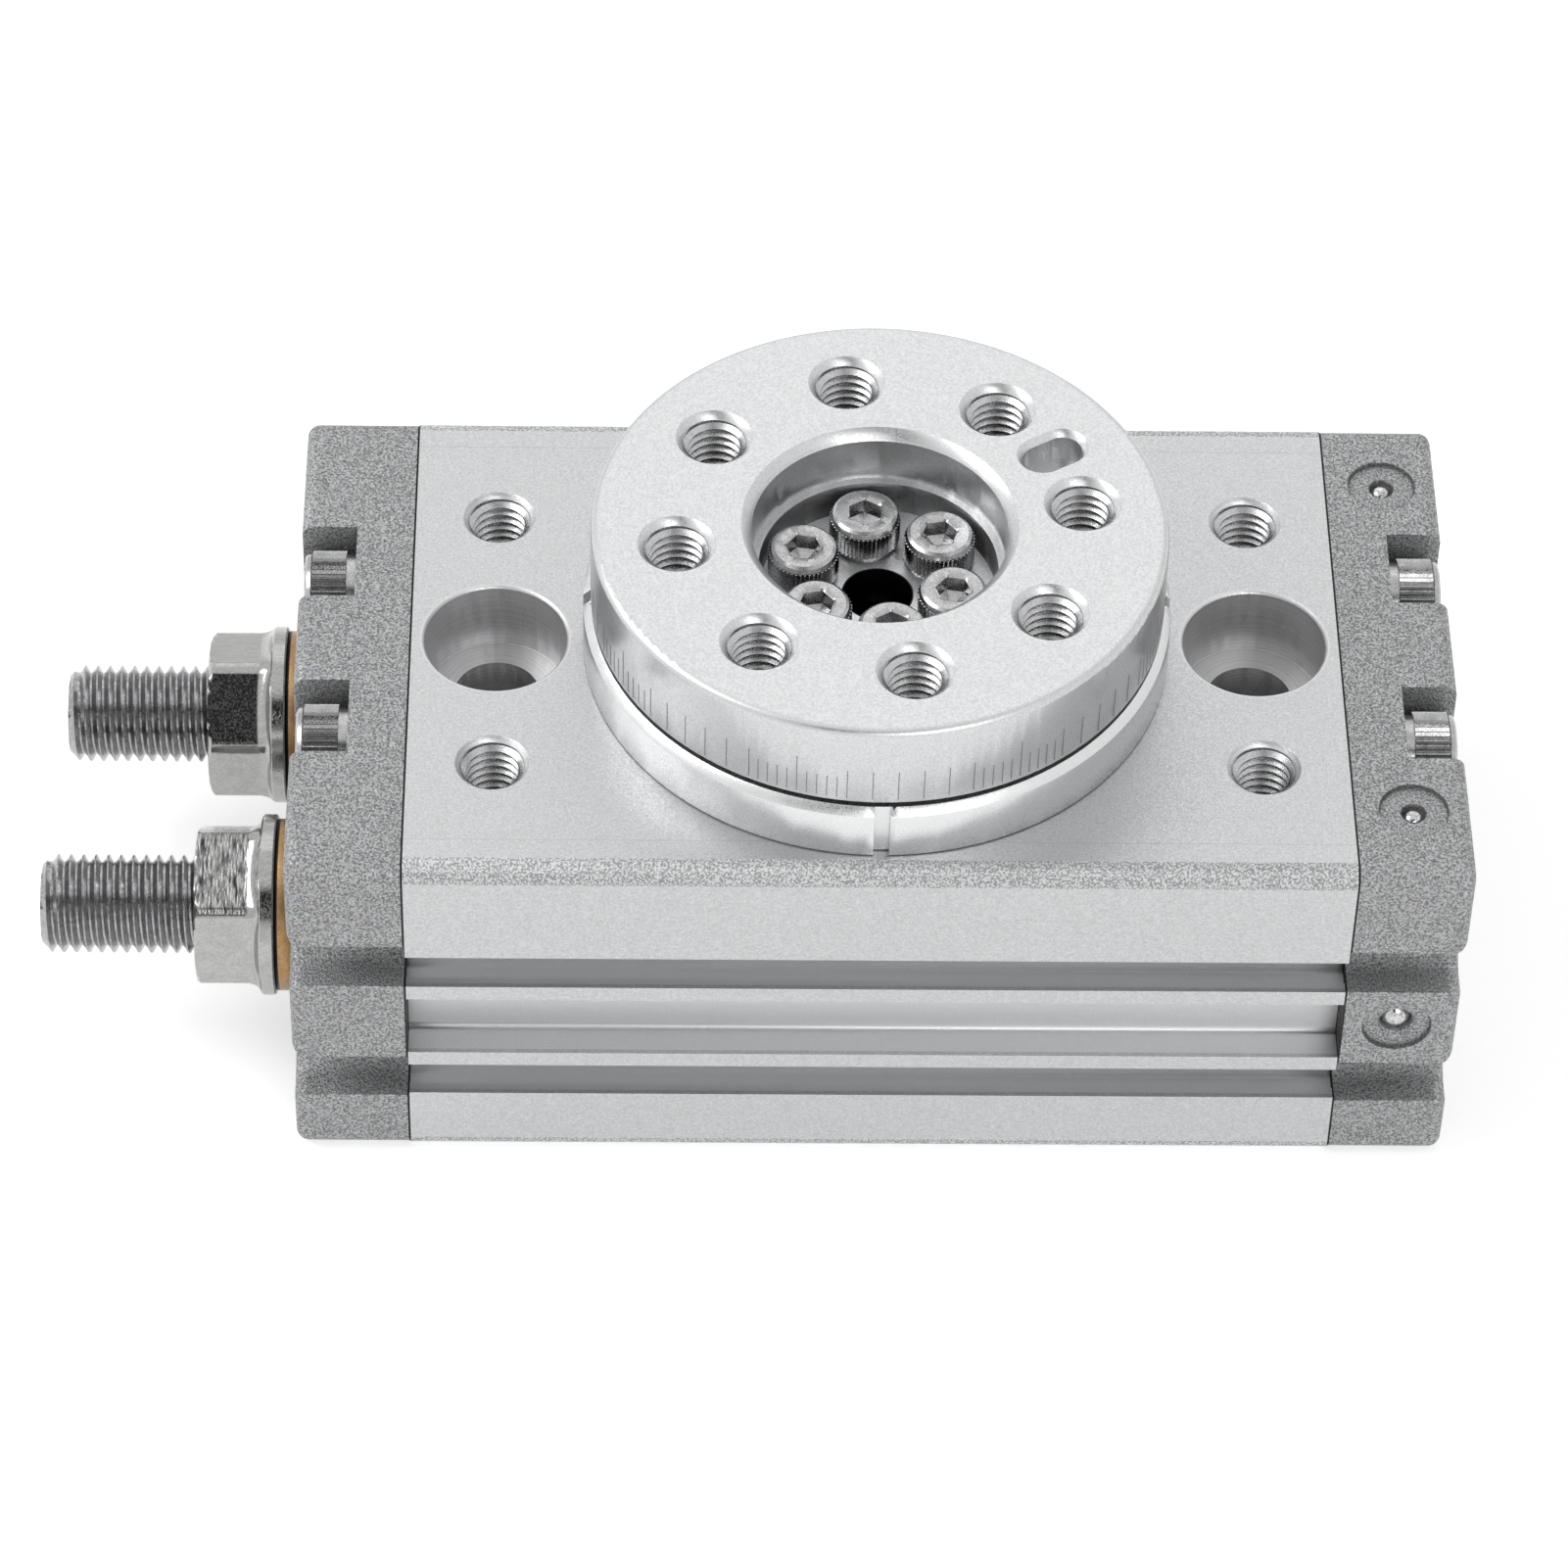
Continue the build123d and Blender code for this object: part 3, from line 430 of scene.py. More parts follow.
def piece_from(name, bm, smooth_angle=35.0):
    """A finished mesh object from a bmesh, with sharp edges kept sharp."""
    bmesh.ops.remove_doubles(bm, verts=bm.verts, dist=0.0002 * mm)
    bmesh.ops.recalc_face_normals(bm, faces=bm.faces)
    mesh = bpy.data.meshes.new(name)
    bm.to_mesh(mesh)
    bm.free()
    mesh.shade_smooth()
    mesh.set_sharp_from_angle(angle=math.radians(smooth_angle))
    obj = bpy.data.objects.new(name, mesh)
    bpy.context.scene.collection.objects.link(obj)
    return obj


def sheet_of(bm, rows, close):
    """Faces between rows of vertices; close joins each row's end to its start."""
    laid = [[bm.verts.new(point) for point in row] for row in rows]
    for low, high in zip(laid, laid[1:]):
        count = len(low)
        for k in range(count if close else count - 1):
            after = (k + 1) % count
            corners = (low[k], low[after], high[after], high[k])
            if len({tuple(round(v, 9) for v in c.co) for c in corners}) == 4:
                bm.faces.new(corners)
    return laid


def tapped_thread(bm, x, y, top, depth, major, pitch, ridge):
    """The ridges of an inside thread; the countersink above cuts into the first turn."""
    # Places along one pitch, each with its height in shares of the ridge.
    shape = ((0.0, 0.0), (0.06, 0.0), (0.44, 1.0), (0.62, 1.0), (1.0, 0.0))
    root = major - thread_gap
    turns = int(depth / pitch)
    rows = []
    for step in range(turns * turn_steps + 1):
        angle = 2 * math.pi * step / turn_steps
        row = []
        for along, height in shape:
            z = top - pitch * (step / turn_steps - 1 + along)
            radius = max(root - ridge * height, root - max(top - z, 0.0))
            z = max(min(z, top), top - depth)
            row.append(((x + radius * math.cos(angle)) * mm,
                        (y + radius * math.sin(angle)) * mm, z * mm))
        rows.append(row)
    sheet_of(bm, rows, False)


tapped_finish = finish_metal("tapped_aluminium", (tap_bright, tap_shadow), roughness=0.26,
                             marks=0.5, grain=0.1, relief=0.004, stretch=(1.0, 1.0, 0.3))
bm = bmesh.new()
for x in (-body_hole_x, body_hole_x):
    for y in (-body_hole_y, body_hole_y):
        tapped_thread(bm, x, y, body_top - body_countersink, body_thread_depth,
                      m5_major, m5_pitch, m5_ridge)
body_threads = piece_from("body_threads", bm)
dress(body_threads, tapped_finish)
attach(body_threads, "housing_unit")

# End covers
# Aluminium die castings under a coarse silver-grey paint that feels like fine sand.
# A shallow round recess lies round each plugged drilling.
paint_light = (0.55, 0.555, 0.56)
paint_dark = (0.11, 0.112, 0.115)
paint_roughness = (0.42, 0.62)
paint_metallic = 0.75
sand_size = 0.20
sand_low = 0.41
sand_high = 0.60
sand_relief = 0.04
sand_strength = 0.9
cloud_size = 0.11
cloud_low = 0.36
cloud_high = 0.64
cover_edge_break = 0.18
cover_joint_reach = 0.12
spot_face_edge = (2.60, 2.78)
ball_mouth_radius = 1.05
recess_shade_dark = (0.06, 0.06, 0.062)
recess_shade_share = 0.6
spot_face_z = 32.6
spot_face_y = -24.6
top_plug_place = (41.35, 17.9)
side_plug_place = (41.0, 15.6)


def sand_paint(name):
    """Paint with sand in it: bright and dark grains that also stand up from the surface."""
    material, tree = start_finish(name)
    sand = place_group(tree, metal_grain, Size=sand_size, Low=sand_low, High=sand_high)
    cloud = place_group(tree, metal_grain, Size=cloud_size, Low=cloud_low, High=cloud_high)
    sand = sand.outputs[0]
    wire_finish(tree, (paint_light, paint_dark), (sand, cloud.outputs[0]), paint_roughness,
                sand, sand_relief, sand, paint_metallic, sand_strength)
    return material


def spot_faced_paint():
    """The painted finish with painted shade on the walls of the three recesses and round their
    balls.
    """
    material = sand_paint("spot_faced_cover_paint")
    tree, shader, colour = open_finish(material)
    x, y = top_plug_place
    x_side, z_side = side_plug_place
    for centre in ((x, y, spot_face_z), (x, -y, spot_face_z), (x_side, spot_face_y, z_side)):
        narrow, wide, mouth = (
            place_mask(tree, rings_round_axis, Centre=centre, Keep=(1.0, 1.0, 1.0), Radius=radius)
            for radius in (*spot_face_edge, ball_mouth_radius))
        # Painted shade: a ring on each recess wall and a dark patch in the gap round its ball.
        for mark in (join(tree, "SUBTRACT", wide, narrow), mouth):
            share = join(tree, "MULTIPLY", mark, recess_shade_share)
            colour = blend(tree, share, colour, recess_shade_dark)
    tree.links.new(colour, shader.inputs["Base Color"])
    return material


for cover, finish in (("adjuster_cover", sand_paint("sanded_cover_paint")),
                      ("port_cover", spot_faced_paint())):
    joint = place_mask(finish.node_tree, band_along_x, Low=0.0,
                       High=body_half_length + cover_joint_reach)
    shade_where(finish, joint, joint_shadow)
    dress(nodes[cover], finish)
    break_edges(cover, cover_edge_break)

# Cover gaskets
# Thin black rubber sheets with one loop round each bore. The cover screws press them
# between the covers and the body.
rubber_and_shade_black = (0.018, 0.018, 0.019)
rubber_grey = (0.045, 0.045, 0.047)
rubber_finish = finish_metal("black_rubber", (rubber_and_shade_black, rubber_grey), roughness=0.72,
                             marks=3.0, grain=0.3, relief=0.02, metallic=0.0)
for gasket in ("adjuster_cover_gasket", "port_cover_gasket"):
    dress(nodes[gasket], rubber_finish)

# Cover screws
# M4 socket head cap screws, nickel plated, with an axially knurled band on the head. They
# lie along the body in the covers' open pockets.
nickel_bright = (0.54, 0.54, 0.545)
nickel_shadow = (0.30, 0.30, 0.305)
# The sockets' walls and floors are darker, a painted shade in the recess.
socket_shade_grey = (0.30, 0.30, 0.305)
socket_shade_dark = (0.12, 0.12, 0.125)
cover_screw_seat = 41.35
cover_screw_axes = ((8.5, 29.1), (17.0, 3.8))
knurl_teeth = 48
knurl_depth = 0.20
knurl_smoothing = 30.0
steps_per_tooth = 4
ring_steps = steps_per_tooth * knurl_teeth


def hexagon_radius(across_flats, angle):
    """Distance from the centre to the side of a hexagon in a direction."""
    from_flat = (angle + math.pi / 6) % (math.pi / 3) - math.pi / 6
    return across_flats / 2 / math.cos(from_flat)


def cap_screw(bm, place, head_radius, head_height, collar_radius, collar, socket,
              socket_depth, shank, length):
    """A knurled socket head screw along its own +Z, its bearing face at zero."""
    centre_hole = 0.02
    tip_chamfer = 0.3
    edge = 0.05
    rim = 0.5
    knurl_gap = 0.1
    socket_chamfer = 0.12
    socket_mouth = 0.62
    drill_cone = 0.5
    angles = [2 * math.pi * k / ring_steps for k in range(ring_steps)]

    def ring(reach, z):
        return [place @ Vector((reach(a) * mm * math.cos(a), reach(a) * mm * math.sin(a), z * mm))
                for a in angles]

    def plain(radius, z):
        return ring(lambda a: radius, z)

    def knurled(radius, z):
        return ring(lambda a: radius - knurl_depth
                    * abs((a * knurl_teeth / (2 * math.pi)) % 1 * 2 - 1), z)

    def hexagonal(across, z):
        return ring(lambda a: hexagon_radius(across, a), z)

    root = head_radius - knurl_depth
    shoulder = head_height - rim
    floor = head_height - socket_depth
    rings = [plain(centre_hole, -length), plain(shank - tip_chamfer, -length),
             plain(shank, -length + tip_chamfer), plain(shank, 0),
             plain(collar_radius, 0), plain(collar_radius, collar),
             plain(root, collar), plain(root, collar + edge),
             knurled(head_radius, collar + knurl_gap), knurled(head_radius, shoulder - knurl_gap),
             plain(root, shoulder - edge), plain(head_radius - knurl_depth / 2, shoulder),
             plain(head_radius - rim / 2, head_height - rim * 0.35),
             plain(head_radius - rim, head_height), plain(socket * socket_mouth, head_height),
             hexagonal(socket, head_height - socket_chamfer), hexagonal(socket, floor),
             plain(centre_hole, floor - drill_cone)]
    # The socket's walls and floor get the second material, the painted shade.
    for corner in sheet_of(bm, rings, True)[-2]:
        for face in corner.link_faces:
            face.material_index = 1


nickel_finish = finish_metal("nickel_plated_screws", (nickel_bright, nickel_shadow),
                             roughness=0.20, marks=0.8, grain=0.12, relief=0.003)
socket_shade_finish = finish_metal("screw_sockets_painted_shade", (socket_shade_grey, socket_shade_dark),
                             roughness=0.30, marks=0.8, grain=0.12, relief=0.003)
for node, way in (("adjuster_cover_screws", -1), ("port_cover_screws", 1)):
    bm = bmesh.new()
    for y, z in cover_screw_axes:
        for side in (-1, 1):
            lying = Matrix.Rotation(way * math.pi / 2, 4, "Y")
            seat = Matrix.Translation(Vector((way * cover_screw_seat, side * y, z)) * mm)
            cap_screw(bm, seat @ lying, head_radius=3.5, head_height=4.1, collar_radius=3.25,
                      collar=0.7, socket=3.0, socket_depth=2.0, shank=1.98, length=13.6)
    screws = piece_from(node + "_knurled", bm, knurl_smoothing)
    dress(screws, nickel_finish)
    screws.data.materials.append(socket_shade_finish)
    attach(screws, "housing_unit")
    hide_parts(node)

# Sealing balls and bearing balls
# Polished steel balls: three pressed into the mouths of the air drillings, level with the
# spot faces, and those of both bearings.
ball_bright = (0.75, 0.75, 0.76)
ball_finish = finish_metal("polished_ball_steel", (ball_bright, nickel_shadow), roughness=0.08,
                           marks=1.5, grain=0.2, relief=0.001)
for balls in ("passage_balls", "upper_bearing_balls", "lower_bearing_balls"):
    dress(nodes[balls], ball_finish)

# Index ring
# A turned and anodised aluminium ring that clamps the bearing; four narrow notches are
# milled across its rim as marks for the table's scale.
ring_silver = (0.74, 0.745, 0.75)
ring_shadow = (0.66, 0.665, 0.67)
ring_edge_break = 0.06
ring_foot = body_top + 0.13
ring_foot_share = 0.75
ring_finish = finish_metal("turned_ring", (ring_silver, ring_shadow), roughness=0.30,
                           marks=0.3, grain=0.1, relief=0.003, stretch=(1.0, 1.0, 0.25))
tree = ring_finish.node_tree
foot = join(tree, "LESS_THAN", point_axes(tree)["Z"], ring_foot * mm)
shade_where(ring_finish, join(tree, "MULTIPLY", foot, ring_foot_share), joint_shadow)
dress(nodes["bearing_retainer"], ring_finish)
break_edges("bearing_retainer", ring_edge_break)

# Bearings, pinion and fixings inside
# Ground bearing steel races, brass cages, a hobbed steel pinion and black oxide screws.
# The wall of the hollow axis is painted dark, a painted shade where little light gets in.
hollow_reach = 2.85
hollow_shade = (0.04, 0.04, 0.042)
race_finish = finish_metal("ground_race", ((0.55, 0.55, 0.56), (0.42, 0.42, 0.43)),
                           roughness=0.22, marks=0.3, grain=0.1, relief=0.002,
                           stretch=(1.0, 1.0, 0.2))
cage_finish = finish_metal("pressed_cage_brass", ((0.66, 0.47, 0.19), (0.50, 0.34, 0.12)),
                           roughness=0.32, marks=1.0, grain=0.2, relief=0.004)
shaft_finish = finish_metal("hobbed_shaft", ((0.42, 0.42, 0.43), (0.30, 0.30, 0.31)),
                            roughness=0.30, marks=0.3, grain=0.12, relief=0.003,
                            stretch=(1.0, 1.0, 0.2))
oxide_finish = finish_metal("black_oxide", ((0.10, 0.10, 0.105), (0.05, 0.05, 0.052)),
                            roughness=0.38, marks=0.8, grain=0.15, relief=0.004)
for race in ("upper_bearing_outer_ring", "upper_bearing_inner_ring",
             "lower_bearing_outer_ring", "lower_bearing_inner_ring", "table_dowel_pin"):
    dress(nodes[race], race_finish)
for cage in ("upper_bearing_cage", "lower_bearing_cage"):
    dress(nodes[cage], cage_finish)
for dark in ("retainer_screws", "lower_snap_ring"):
    dress(nodes[dark], oxide_finish)


def shade_hollow(material):
    """Paints shade on the wall of the hollow axis."""
    hollow = place_mask(material.node_tree, rings_round_axis, Radius=hollow_reach)
    shade_where(material, hollow, hollow_shade)


shade_hollow(shaft_finish)
dress(nodes["pinion"], shaft_finish)

# Rack pistons and cushion pads
# Steel pistons with a cut rack, rubber seals, off-white wear rings and a ferrite magnet.
# The pads that stop them sit in the adjusting bolts and are rubber.
rack_finish = finish_metal("cut_rack_steel", ((0.48, 0.48, 0.49), (0.36, 0.36, 0.37)),
                           roughness=0.28, marks=0.3, grain=0.12, relief=0.003,
                           stretch=(0.2, 1.0, 1.0))
wear_finish = finish_metal("wear_ring_plastic", ((0.62, 0.60, 0.52), (0.52, 0.50, 0.43)),
                           roughness=0.55, marks=2.0, grain=0.3, relief=0.006, metallic=0.0)
magnet_finish = finish_metal("sintered_magnet", ((0.07, 0.07, 0.072), (0.04, 0.04, 0.042)),
                             roughness=0.62, marks=1.0, grain=0.2, relief=0.01, metallic=0.3)
for where in ("front", "back"):
    for part, finish in (("_rack_piston", rack_finish), ("_piston_seals", rubber_finish),
                         ("_wear_rings", wear_finish), ("_piston_magnet", magnet_finish),
                         ("_cushion_pad", rubber_finish)):
        dress(nodes[where + part], finish)

# Table
# A turned aluminium disc, satin anodised. Its faces show the fine rings of the turning
# tool, and its edges are lightly broken.
table_silver = (0.68, 0.685, 0.69)
table_shadow = (0.52, 0.525, 0.53)
table_roughness = 0.34
table_relief = 0.003
table_edge_break = 0.07
turning_pitch = 0.14
table_pearl_size = 0.16
table_pearl_low = 0.40
table_pearl_high = 0.60


def turned_finish():
    """A lathe-turned and anodised surface: the rings give its tone and its relief."""
    material, tree = start_finish("turned_table")
    rings = turned_rings(tree, (0.0, 0.0, 0.0), turning_pitch)
    pearl = place_group(tree, metal_grain, Size=table_pearl_size, Low=table_pearl_low,
                        High=table_pearl_high).outputs[0]
    wire_finish(tree, (table_silver, table_shadow), (rings, pearl),
                (table_roughness - roughness_below, table_roughness + roughness_above), pearl,
                table_relief, rings)
    return material


table_finish = turned_finish()
shade_hollow(table_finish)
dress(nodes["table"], table_finish)
break_edges("table", table_edge_break)

# Threads of the table's M5 holes
# Eight through holes on a 32 mm circle, tapped after anodising. Angles are in degrees from
# +X, and the first hole lies at the back.
table_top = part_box("table")[1][2] / mm
table_turned = -1.43
first_hole = 100 + table_turned
hole_step = 45
table_circle = 16.0
table_countersink = 0.55
table_thread_depth = 7.0
bm = bmesh.new()
for k in range(8):
    angle = math.radians(first_hole - hole_step * k)
    tapped_thread(bm, table_circle * math.cos(angle), table_circle * math.sin(angle),
                  table_top - table_countersink, table_thread_depth,
                  m5_major, m5_pitch, m5_ridge)
table_threads = piece_from("table_threads", bm)
dress(table_threads, tapped_finish)
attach(table_threads, "table_unit")

# Scale on the table's rim
# Fine lines etched in the rim: groups at two degrees with a longer line in the middle, and
# between them lines at five degrees. The groups repeat with the threaded holes.
table_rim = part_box("table")[1][0] / mm
disc_underside = 38.4
rim_foot = disc_underside + 0.3
group_offset = 19.4
line_width = 0.075
line_centre = 3.8
line_long = 3.0
line_short = 2.2
line_proud = 0.012
line_bedded = 0.05
scale_grey = (0.20, 0.20, 0.205)
scale_pale = (0.28, 0.28, 0.285)
scale_finish = finish_metal("etched_lines", (scale_grey, scale_pale), roughness=0.5,
                            marks=0.5, grain=0.1, relief=0.002, metallic=0.4)


def rim_line(bm, degrees, height):
    """One line of the scale: a thin plate bedded in the rim."""
    middle = math.radians(degrees)
    half = line_width / 2 / table_rim
    rows = []
    for radius in (table_rim - line_bedded, table_rim + line_proud):
        corners = ((middle - half, rim_foot), (middle + half, rim_foot),
                   (middle + half, rim_foot + height), (middle - half, rim_foot + height))
        rows.append([(radius * mm * math.cos(a), radius * mm * math.sin(a), z * mm)
                     for a, z in corners])
    laid = sheet_of(bm, rows, True)
    bm.faces.new(laid[0])
    bm.faces.new(laid[1])


bm = bmesh.new()
for k in range(8):
    start = first_hole - hole_step * k + group_offset
    for step in range(-5, 6):
        height = line_centre if step == 0 else line_long if step % 5 == 0 else line_short
        rim_line(bm, start + 2 * step, height)
    for step in range(1, 5):
        rim_line(bm, start + 10 + 5 * step, line_long)
rim_scale = piece_from("rim_scale", bm)
dress(rim_scale, scale_finish)
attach(rim_scale, "table_unit")

# Table screws
# Six M3 socket head cap screws in the table's well, nickel plated and knurled. Each stopped
# at another angle when it was tightened.
table_screw_circle = 6.25
table_screw_seat = table_top - 7.8
table_screw_step = 60
table_screw_turn = 0.7
bm = bmesh.new()
for k in range(6):
    angle = math.radians(first_hole - table_screw_step * k)
    spot = Vector((table_screw_circle * math.cos(angle), table_screw_circle * math.sin(angle),
                   table_screw_seat))
    turn = Matrix.Rotation(table_screw_turn * k, 4, "Z")
    cap_screw(bm, Matrix.Translation(spot * mm) @ turn, head_radius=2.8, head_height=3.0,
              collar_radius=2.5, collar=0.25, socket=2.5, socket_depth=1.5, shank=1.48,
              length=7.6)
table_screws = piece_from("table_screws_knurled", bm, knurl_smoothing)
dress(table_screws, nickel_finish)
# Their sockets also get the painted shade.
table_screws.data.materials.append(socket_shade_finish)
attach(table_screws, "table_unit")
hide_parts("table_screws")

# Adjusting bolts
# Headless M8 fine thread bolts of bare steel, with a hexagon socket in the outer end and a
# recess for the cushion pad in the inner one.
bolt_light = (0.50, 0.50, 0.505)
bolt_dark = (0.20, 0.20, 0.205)
bolt_pitch = 1.0
bolt_ridge = 0.58
bolt_chamfer = 0.75
bolt_socket = 4.0
bolt_socket_depth = 4.0
bolt_socket_chamfer = 0.15
bolt_socket_mouth = 0.6
bolt_drill_depth = 4.8
pad_recess_radius = 1.5
pad_recess_depth = 2.8
bolt_finish = finish_metal("bare_thread_steel", (bolt_light, bolt_dark), roughness=0.15,
                           marks=0.4, grain=0.1, relief=0.004)


def threaded_bolt(bm, outer, inner, y, z, radius):
    """A fully threaded rod along X, with chamfered ends and a hexagon socket outside."""
    # Places along one pitch, each with its depth in shares of the ridge.
    shape = ((0.0, 0.0), (0.12, 0.0), (0.44, 1.0), (0.60, 1.0), (1.0, 0.0))
    end = radius - bolt_chamfer
    pole = 0.02
    turns = int((inner - outer) / bolt_pitch) + 1
    rows = []
    for step in range(turns * turn_steps + 1):
        angle = 2 * math.pi * step / turn_steps
        row = []
        for along, depth in shape:
            x = outer + bolt_pitch * (step / turn_steps - 1 + along)
            x = max(min(x, inner), outer)
            r = min(radius - bolt_ridge * depth, end + min(x - outer, inner - x))
            row.append((x * mm, (y + r * math.cos(angle)) * mm, (z + r * math.sin(angle)) * mm))
        rows.append(row)
    sheet_of(bm, rows, False)
    angles = [2 * math.pi * k / ring_steps for k in range(ring_steps)]

    def round_ring(r, x):
        return [(x * mm, (y + r * math.cos(a)) * mm, (z + r * math.sin(a)) * mm)
                for a in angles]

    def hexagon_ring(x):
        return [(x * mm, (y + hexagon_radius(bolt_socket, a) * math.cos(a)) * mm,
                 (z + hexagon_radius(bolt_socket, a) * math.sin(a)) * mm) for a in angles]

    sheet_of(bm, [round_ring(end, outer), round_ring(bolt_socket * bolt_socket_mouth, outer),
                  hexagon_ring(outer + bolt_socket_chamfer),
                  hexagon_ring(outer + bolt_socket_depth),
                  round_ring(pole, outer + bolt_drill_depth)], True)
    sheet_of(bm, [round_ring(end, inner), round_ring(pad_recess_radius, inner),
                  round_ring(pad_recess_radius, inner - pad_recess_depth),
                  round_ring(pole, inner - pad_recess_depth)], True)


for where in ("front", "back"):
    low, high = (Vector(corner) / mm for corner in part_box(where + "_adjusting_bolt"))
    centre = (low + high) / 2
    bm = bmesh.new()
    threaded_bolt(bm, low.x, high.x, centre.y, centre.z, (high.z - low.z) / 2)
    bolt = piece_from(where + "_bolt_threaded", bm)
    dress(bolt, bolt_finish)
    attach(bolt, where + "_bolt")
    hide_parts(where + "_adjusting_bolt")

# Lock nuts and seal washers
# Flanged hexagon nuts, bright nickel plated, each on a bronze-coloured washer whose rim next
# to the nut's flange is painted black, a painted shade. A spanner has scratched the front
# nut's upper flat, which is also painted darker as a painted dark reflection.
nut_bright = (0.45, 0.45, 0.445)
nut_shadow = (0.33, 0.33, 0.325)
nut_wear = {"roughness": 0.14, "marks": 1.2, "grain": 0.2, "stretch": (1.0, 0.3, 1.0)}
nut_turns = {"front": 48.0, "back": 9.0}
nut_across_flats = 12.0
nut_corner_radius = 6.7
nut_flange_radius = 7.24
nut_bore_radius = 4.0
nut_bore_chamfer = 0.5
# Places along the nut, each with the greatest radius and the share of the round flange.
nut_profile = (
    (0.0, 6.1, 0.0), (0.12, 6.4, 0.0), (0.35, nut_corner_radius, 0.0),
    (0.45, nut_corner_radius, 0.0), (0.6, nut_corner_radius, 0.0), (3.9, nut_corner_radius, 0.0),
    (4.1, nut_corner_radius, 0.0), (4.2, nut_corner_radius, 0.03),
    (4.4, nut_corner_radius, 0.11), (4.65, nut_corner_radius, 0.24),
    (4.85, nut_corner_radius, 0.42), (5.0, nut_corner_radius, 0.62),
    (5.08, nut_corner_radius, 0.76), (5.14, nut_corner_radius, 0.88))
nut_flange_profile = ((5.18, 7.12), (5.30, nut_flange_radius), (6.22, nut_flange_radius),
                      (6.35, 7.10))
scratch_size = 0.26
scratch_stretch = (0.6, 4.0, 4.0)
scratch_low = 0.35
scratch_high = 0.65
scratch_depth = 0.02
scratch_bright = (0.46, 0.46, 0.455)
scratch_and_reflection_dark = (0.05, 0.05, 0.05)
scratch_floor = 17.4
scratch_start = 7.0
scratch_end = 2.1
bronze_light = (0.44, 0.28, 0.14)
bronze_dark = (0.28, 0.16, 0.07)
washer_outer_x = -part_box("front_seal_washer")[0][0] / mm
washer_edge_break = 0.1
flange_shade_width = 0.28
flange_shade_reach = 1.0


def scratched_nut_dark_reflection():
    """The nut's plating with scratches across its upper flat, also painted darker as a painted
    reflection.
    """
    material = finish_metal("spanner_marked_nut_painted_reflection", (nut_bright, nut_shadow), relief=0.002,
                            **nut_wear)
    tree, shader, colour = open_finish(material)
    scratches = place_group(tree, metal_grain, Size=scratch_size, Stretch=scratch_stretch,
                            Low=scratch_low, High=scratch_high).outputs[0]
    flats = place_mask(tree, band_along_x, Low=washer_outer_x + scratch_end,
                       High=washer_outer_x + scratch_start)
    high = join(tree, "GREATER_THAN", point_axes(tree)["Z"], scratch_floor * mm)
    upper = join(tree, "MULTIPLY", flats, high)
    # The upper flat gets scratch streaks and a darker tone, a painted dark reflection.
    marked = blend(tree, scratches, scratch_and_reflection_dark, scratch_bright)
    tree.links.new(blend(tree, upper, colour, marked), shader.inputs["Base Color"])
    bump = tree.nodes.new("ShaderNodeBump")
    bump.inputs["Distance"].default_value = scratch_depth * mm
    tree.links.new(join(tree, "MULTIPLY", scratches, upper), bump.inputs["Height"])
    tree.links.new(shader.inputs["Normal"].links[0].from_socket, bump.inputs["Normal"])
    tree.links.new(bump.outputs[0], shader.inputs["Normal"])
    return material


def flanged_nut(bm, outer, y, z, turned):
    """A hexagon nut along X whose flats run out into a round flange in a hollow curve."""
    angles = [2 * math.pi * k / ring_steps for k in range(ring_steps)]

    def ring(along, reach):
        return [((outer + along) * mm, (y + reach(a) * math.cos(a + turned)) * mm,
                 (z + reach(a) * math.sin(a + turned)) * mm) for a in angles]

    def flat(limit, share):
        return lambda a: (min(hexagon_radius(nut_across_flats, a), limit) * (1 - share)
                          + nut_flange_radius * share)

    rings = [ring(nut_bore_chamfer, lambda a: nut_bore_radius),
             ring(0.0, lambda a: nut_bore_radius + nut_bore_chamfer)]
    rings += [ring(along, flat(limit, share)) for along, limit, share in nut_profile]
    rings += [ring(along, lambda a, r=radius: r) for along, radius in nut_flange_profile]
    rings += [ring(nut_flange_profile[-1][0], lambda a: nut_bore_radius)]
    sheet_of(bm, rings + rings[:1], True)


nut_finish = finish_metal("nickel_plated_nut", (nut_bright, nut_shadow), relief=0.003,
                          **nut_wear)
bronze_finish = finish_metal("bronze_washer", (bronze_light, bronze_dark), roughness=0.34,
                             marks=0.5, grain=0.12, relief=0.006)
# A painted shade: the washer's rim next to the nut's flange is painted black.
flange_shade = place_mask(bronze_finish.node_tree, band_along_x, Low=washer_outer_x - flange_shade_width,
                 High=washer_outer_x + flange_shade_reach)
shade_where(bronze_finish, flange_shade, rubber_and_shade_black)
for where, finish in (("front", scratched_nut_dark_reflection()), ("back", nut_finish)):
    low, high = (Vector(corner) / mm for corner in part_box(where + "_lock_nut"))
    middle = (low + high) / 2
    bm = bmesh.new()
    flanged_nut(bm, low.x, middle.y, middle.z, math.radians(nut_turns[where]))
    nut = piece_from(where + "_nut_flared", bm)
    dress(nut, finish)
    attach(nut, where + "_nut")
    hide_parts(where + "_lock_nut")
    dress(nodes[where + "_seal_washer"], bronze_finish)
    break_edges(where + "_seal_washer", washer_edge_break)

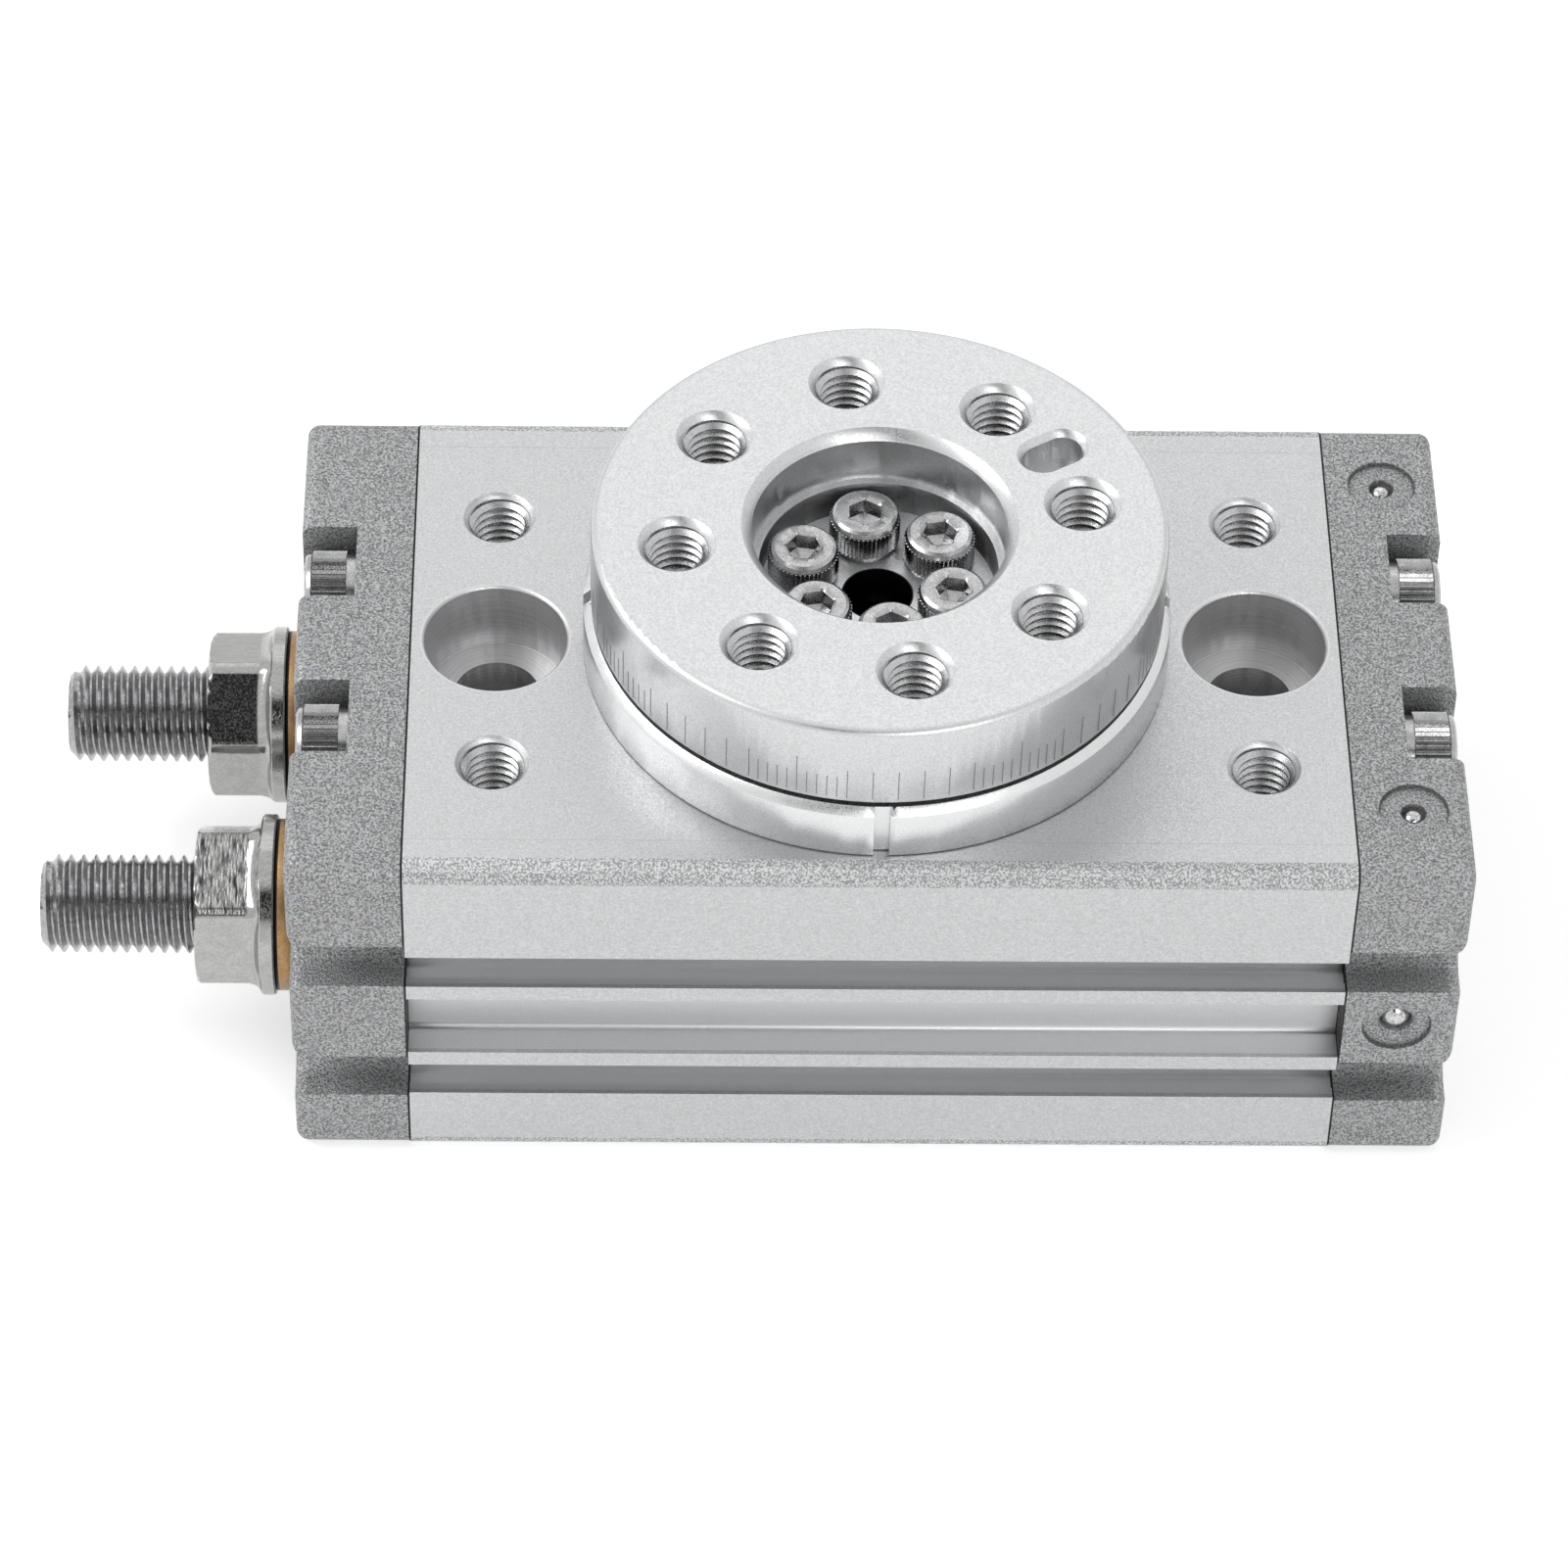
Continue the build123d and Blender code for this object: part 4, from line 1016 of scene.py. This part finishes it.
# Studio
# A white table top and soft white light all round, with a large lamp on the left and
# fainter ones in front and behind. A dark card round the camera gives the bright metal its
# contrast.
floor_size = 3.0
floor_white = (0.80, 0.80, 0.80, 1.0)
floor_glow = 0.50
sky_fill = 0.55
dark_card_way = (-0.02, -0.68, 0.73)
dark_card_core = 15.0
dark_card_edge = 27.0
dark_card_level = 0.03
lamp_target = Vector((0.0, 0.0, 0.02))
lens_focal = 150.50
lens_sensor = 36.0
camera_elevation = math.radians(46.988)
camera_azimuth = math.radians(1.645)
camera_roll = math.radians(1.583)
camera_aim = (-6.913, 10.954)
camera_distance = 542.405


def seen_rays(tree):
    """One where a ray comes from the camera, from gloss or through glass, else zero."""
    path = tree.nodes.new("ShaderNodeLightPath").outputs
    glossy = join(tree, "MAXIMUM", path["Is Camera Ray"], path["Is Glossy Ray"])
    return join(tree, "MAXIMUM", glossy, path["Is Transmission Ray"])


bm = bmesh.new()
half = floor_size / 2
corners = [bm.verts.new((x, y, 0.0))
           for x, y in ((-half, -half), (half, -half), (half, half), (-half, half))]
bm.faces.new(corners)
floor = piece_from("studio_floor", bm)
floor_finish, tree = start_finish("studio_white")
tree.nodes.remove(tree.nodes["Principled BSDF"])
matt = tree.nodes.new("ShaderNodeBsdfDiffuse")
matt.inputs["Color"].default_value = floor_white
glow = tree.nodes.new("ShaderNodeEmission")
both = tree.nodes.new("ShaderNodeAddShader")
glow_level = join(tree, "MULTIPLY", seen_rays(tree), floor_glow)
tree.links.new(glow_level, glow.inputs["Strength"])
tree.links.new(matt.outputs[0], both.inputs[0])
tree.links.new(glow.outputs[0], both.inputs[1])
tree.links.new(both.outputs[0], tree.nodes["Material Output"].inputs["Surface"])
dress(floor, floor_finish)

world = bpy.data.worlds.new("studio_world")
bpy.context.scene.world = world
world.use_nodes = True
tree = world.node_tree
sky = tree.nodes["Background"]
sky.inputs["Color"].default_value = (1.0, 1.0, 1.0, 1.0)
heading = tree.nodes.new("ShaderNodeTexCoord")
toward = arithmetic(tree, "ShaderNodeVectorMath", "DOT_PRODUCT",
                    (heading.outputs["Generated"], dark_card_way))
card = tree.nodes.new("ShaderNodeMapRange")
card.inputs["From Min"].default_value = math.cos(math.radians(dark_card_edge))
card.inputs["From Max"].default_value = math.cos(math.radians(dark_card_core))
card.inputs["To Min"].default_value = 1.0
card.inputs["To Max"].default_value = dark_card_level
tree.links.new(toward.outputs["Value"], card.inputs["Value"])
path = tree.nodes.new("ShaderNodeLightPath")
unseen = join(tree, "MAXIMUM", card.outputs["Result"], path.outputs["Is Camera Ray"])
level = tree.nodes.new("ShaderNodeMapRange")
level.inputs["To Min"].default_value = sky_fill
tree.links.new(unseen, level.inputs["To Max"])
tree.links.new(seen_rays(tree), level.inputs["Value"])
tree.links.new(level.outputs["Result"], sky.inputs["Strength"])


def softbox(name, place, size, power):
    """A square area lamp that points at the middle of the body."""
    data = bpy.data.lights.new(name, "AREA")
    data.shape = "SQUARE"
    data.size = size
    data.energy = power
    lamp = bpy.data.objects.new(name, data)
    lamp.location = place
    aim = lamp_target - lamp.location
    lamp.rotation_euler = aim.to_track_quat("-Z", "Y").to_euler()
    bpy.context.scene.collection.objects.link(lamp)


softbox("key_softbox", place=(-0.9, 0.1, 0.9), size=0.7, power=6.0)
softbox("front_softbox", place=(0.3, -0.9, 0.7), size=0.6, power=3.0)
softbox("back_softbox", place=(0.05, 0.95, 0.95), size=0.8, power=0.8)

forward = Vector((math.cos(camera_elevation) * math.sin(camera_azimuth),
                  math.cos(camera_elevation) * math.cos(camera_azimuth),
                  -math.sin(camera_elevation)))
right = Vector((math.cos(camera_azimuth), -math.sin(camera_azimuth), 0.0))
upward = right.cross(forward)
across = right * math.cos(camera_roll) + upward * math.sin(camera_roll)
over = upward * math.cos(camera_roll) - right * math.sin(camera_roll)
lens = bpy.data.cameras.new("photo_lens")
lens.lens = lens_focal
lens.sensor_width = lens_sensor
camera = bpy.data.objects.new("photo_camera", lens)
spot = (right * camera_aim[0] + upward * camera_aim[1] - forward * camera_distance) * mm
facing = Matrix((across, over, -forward)).transposed().to_4x4()
camera.matrix_world = Matrix.Translation(spot) @ facing
bpy.context.scene.collection.objects.link(camera)
bpy.context.scene.camera = camera
bpy.context.scene.view_settings.view_transform = "Standard"
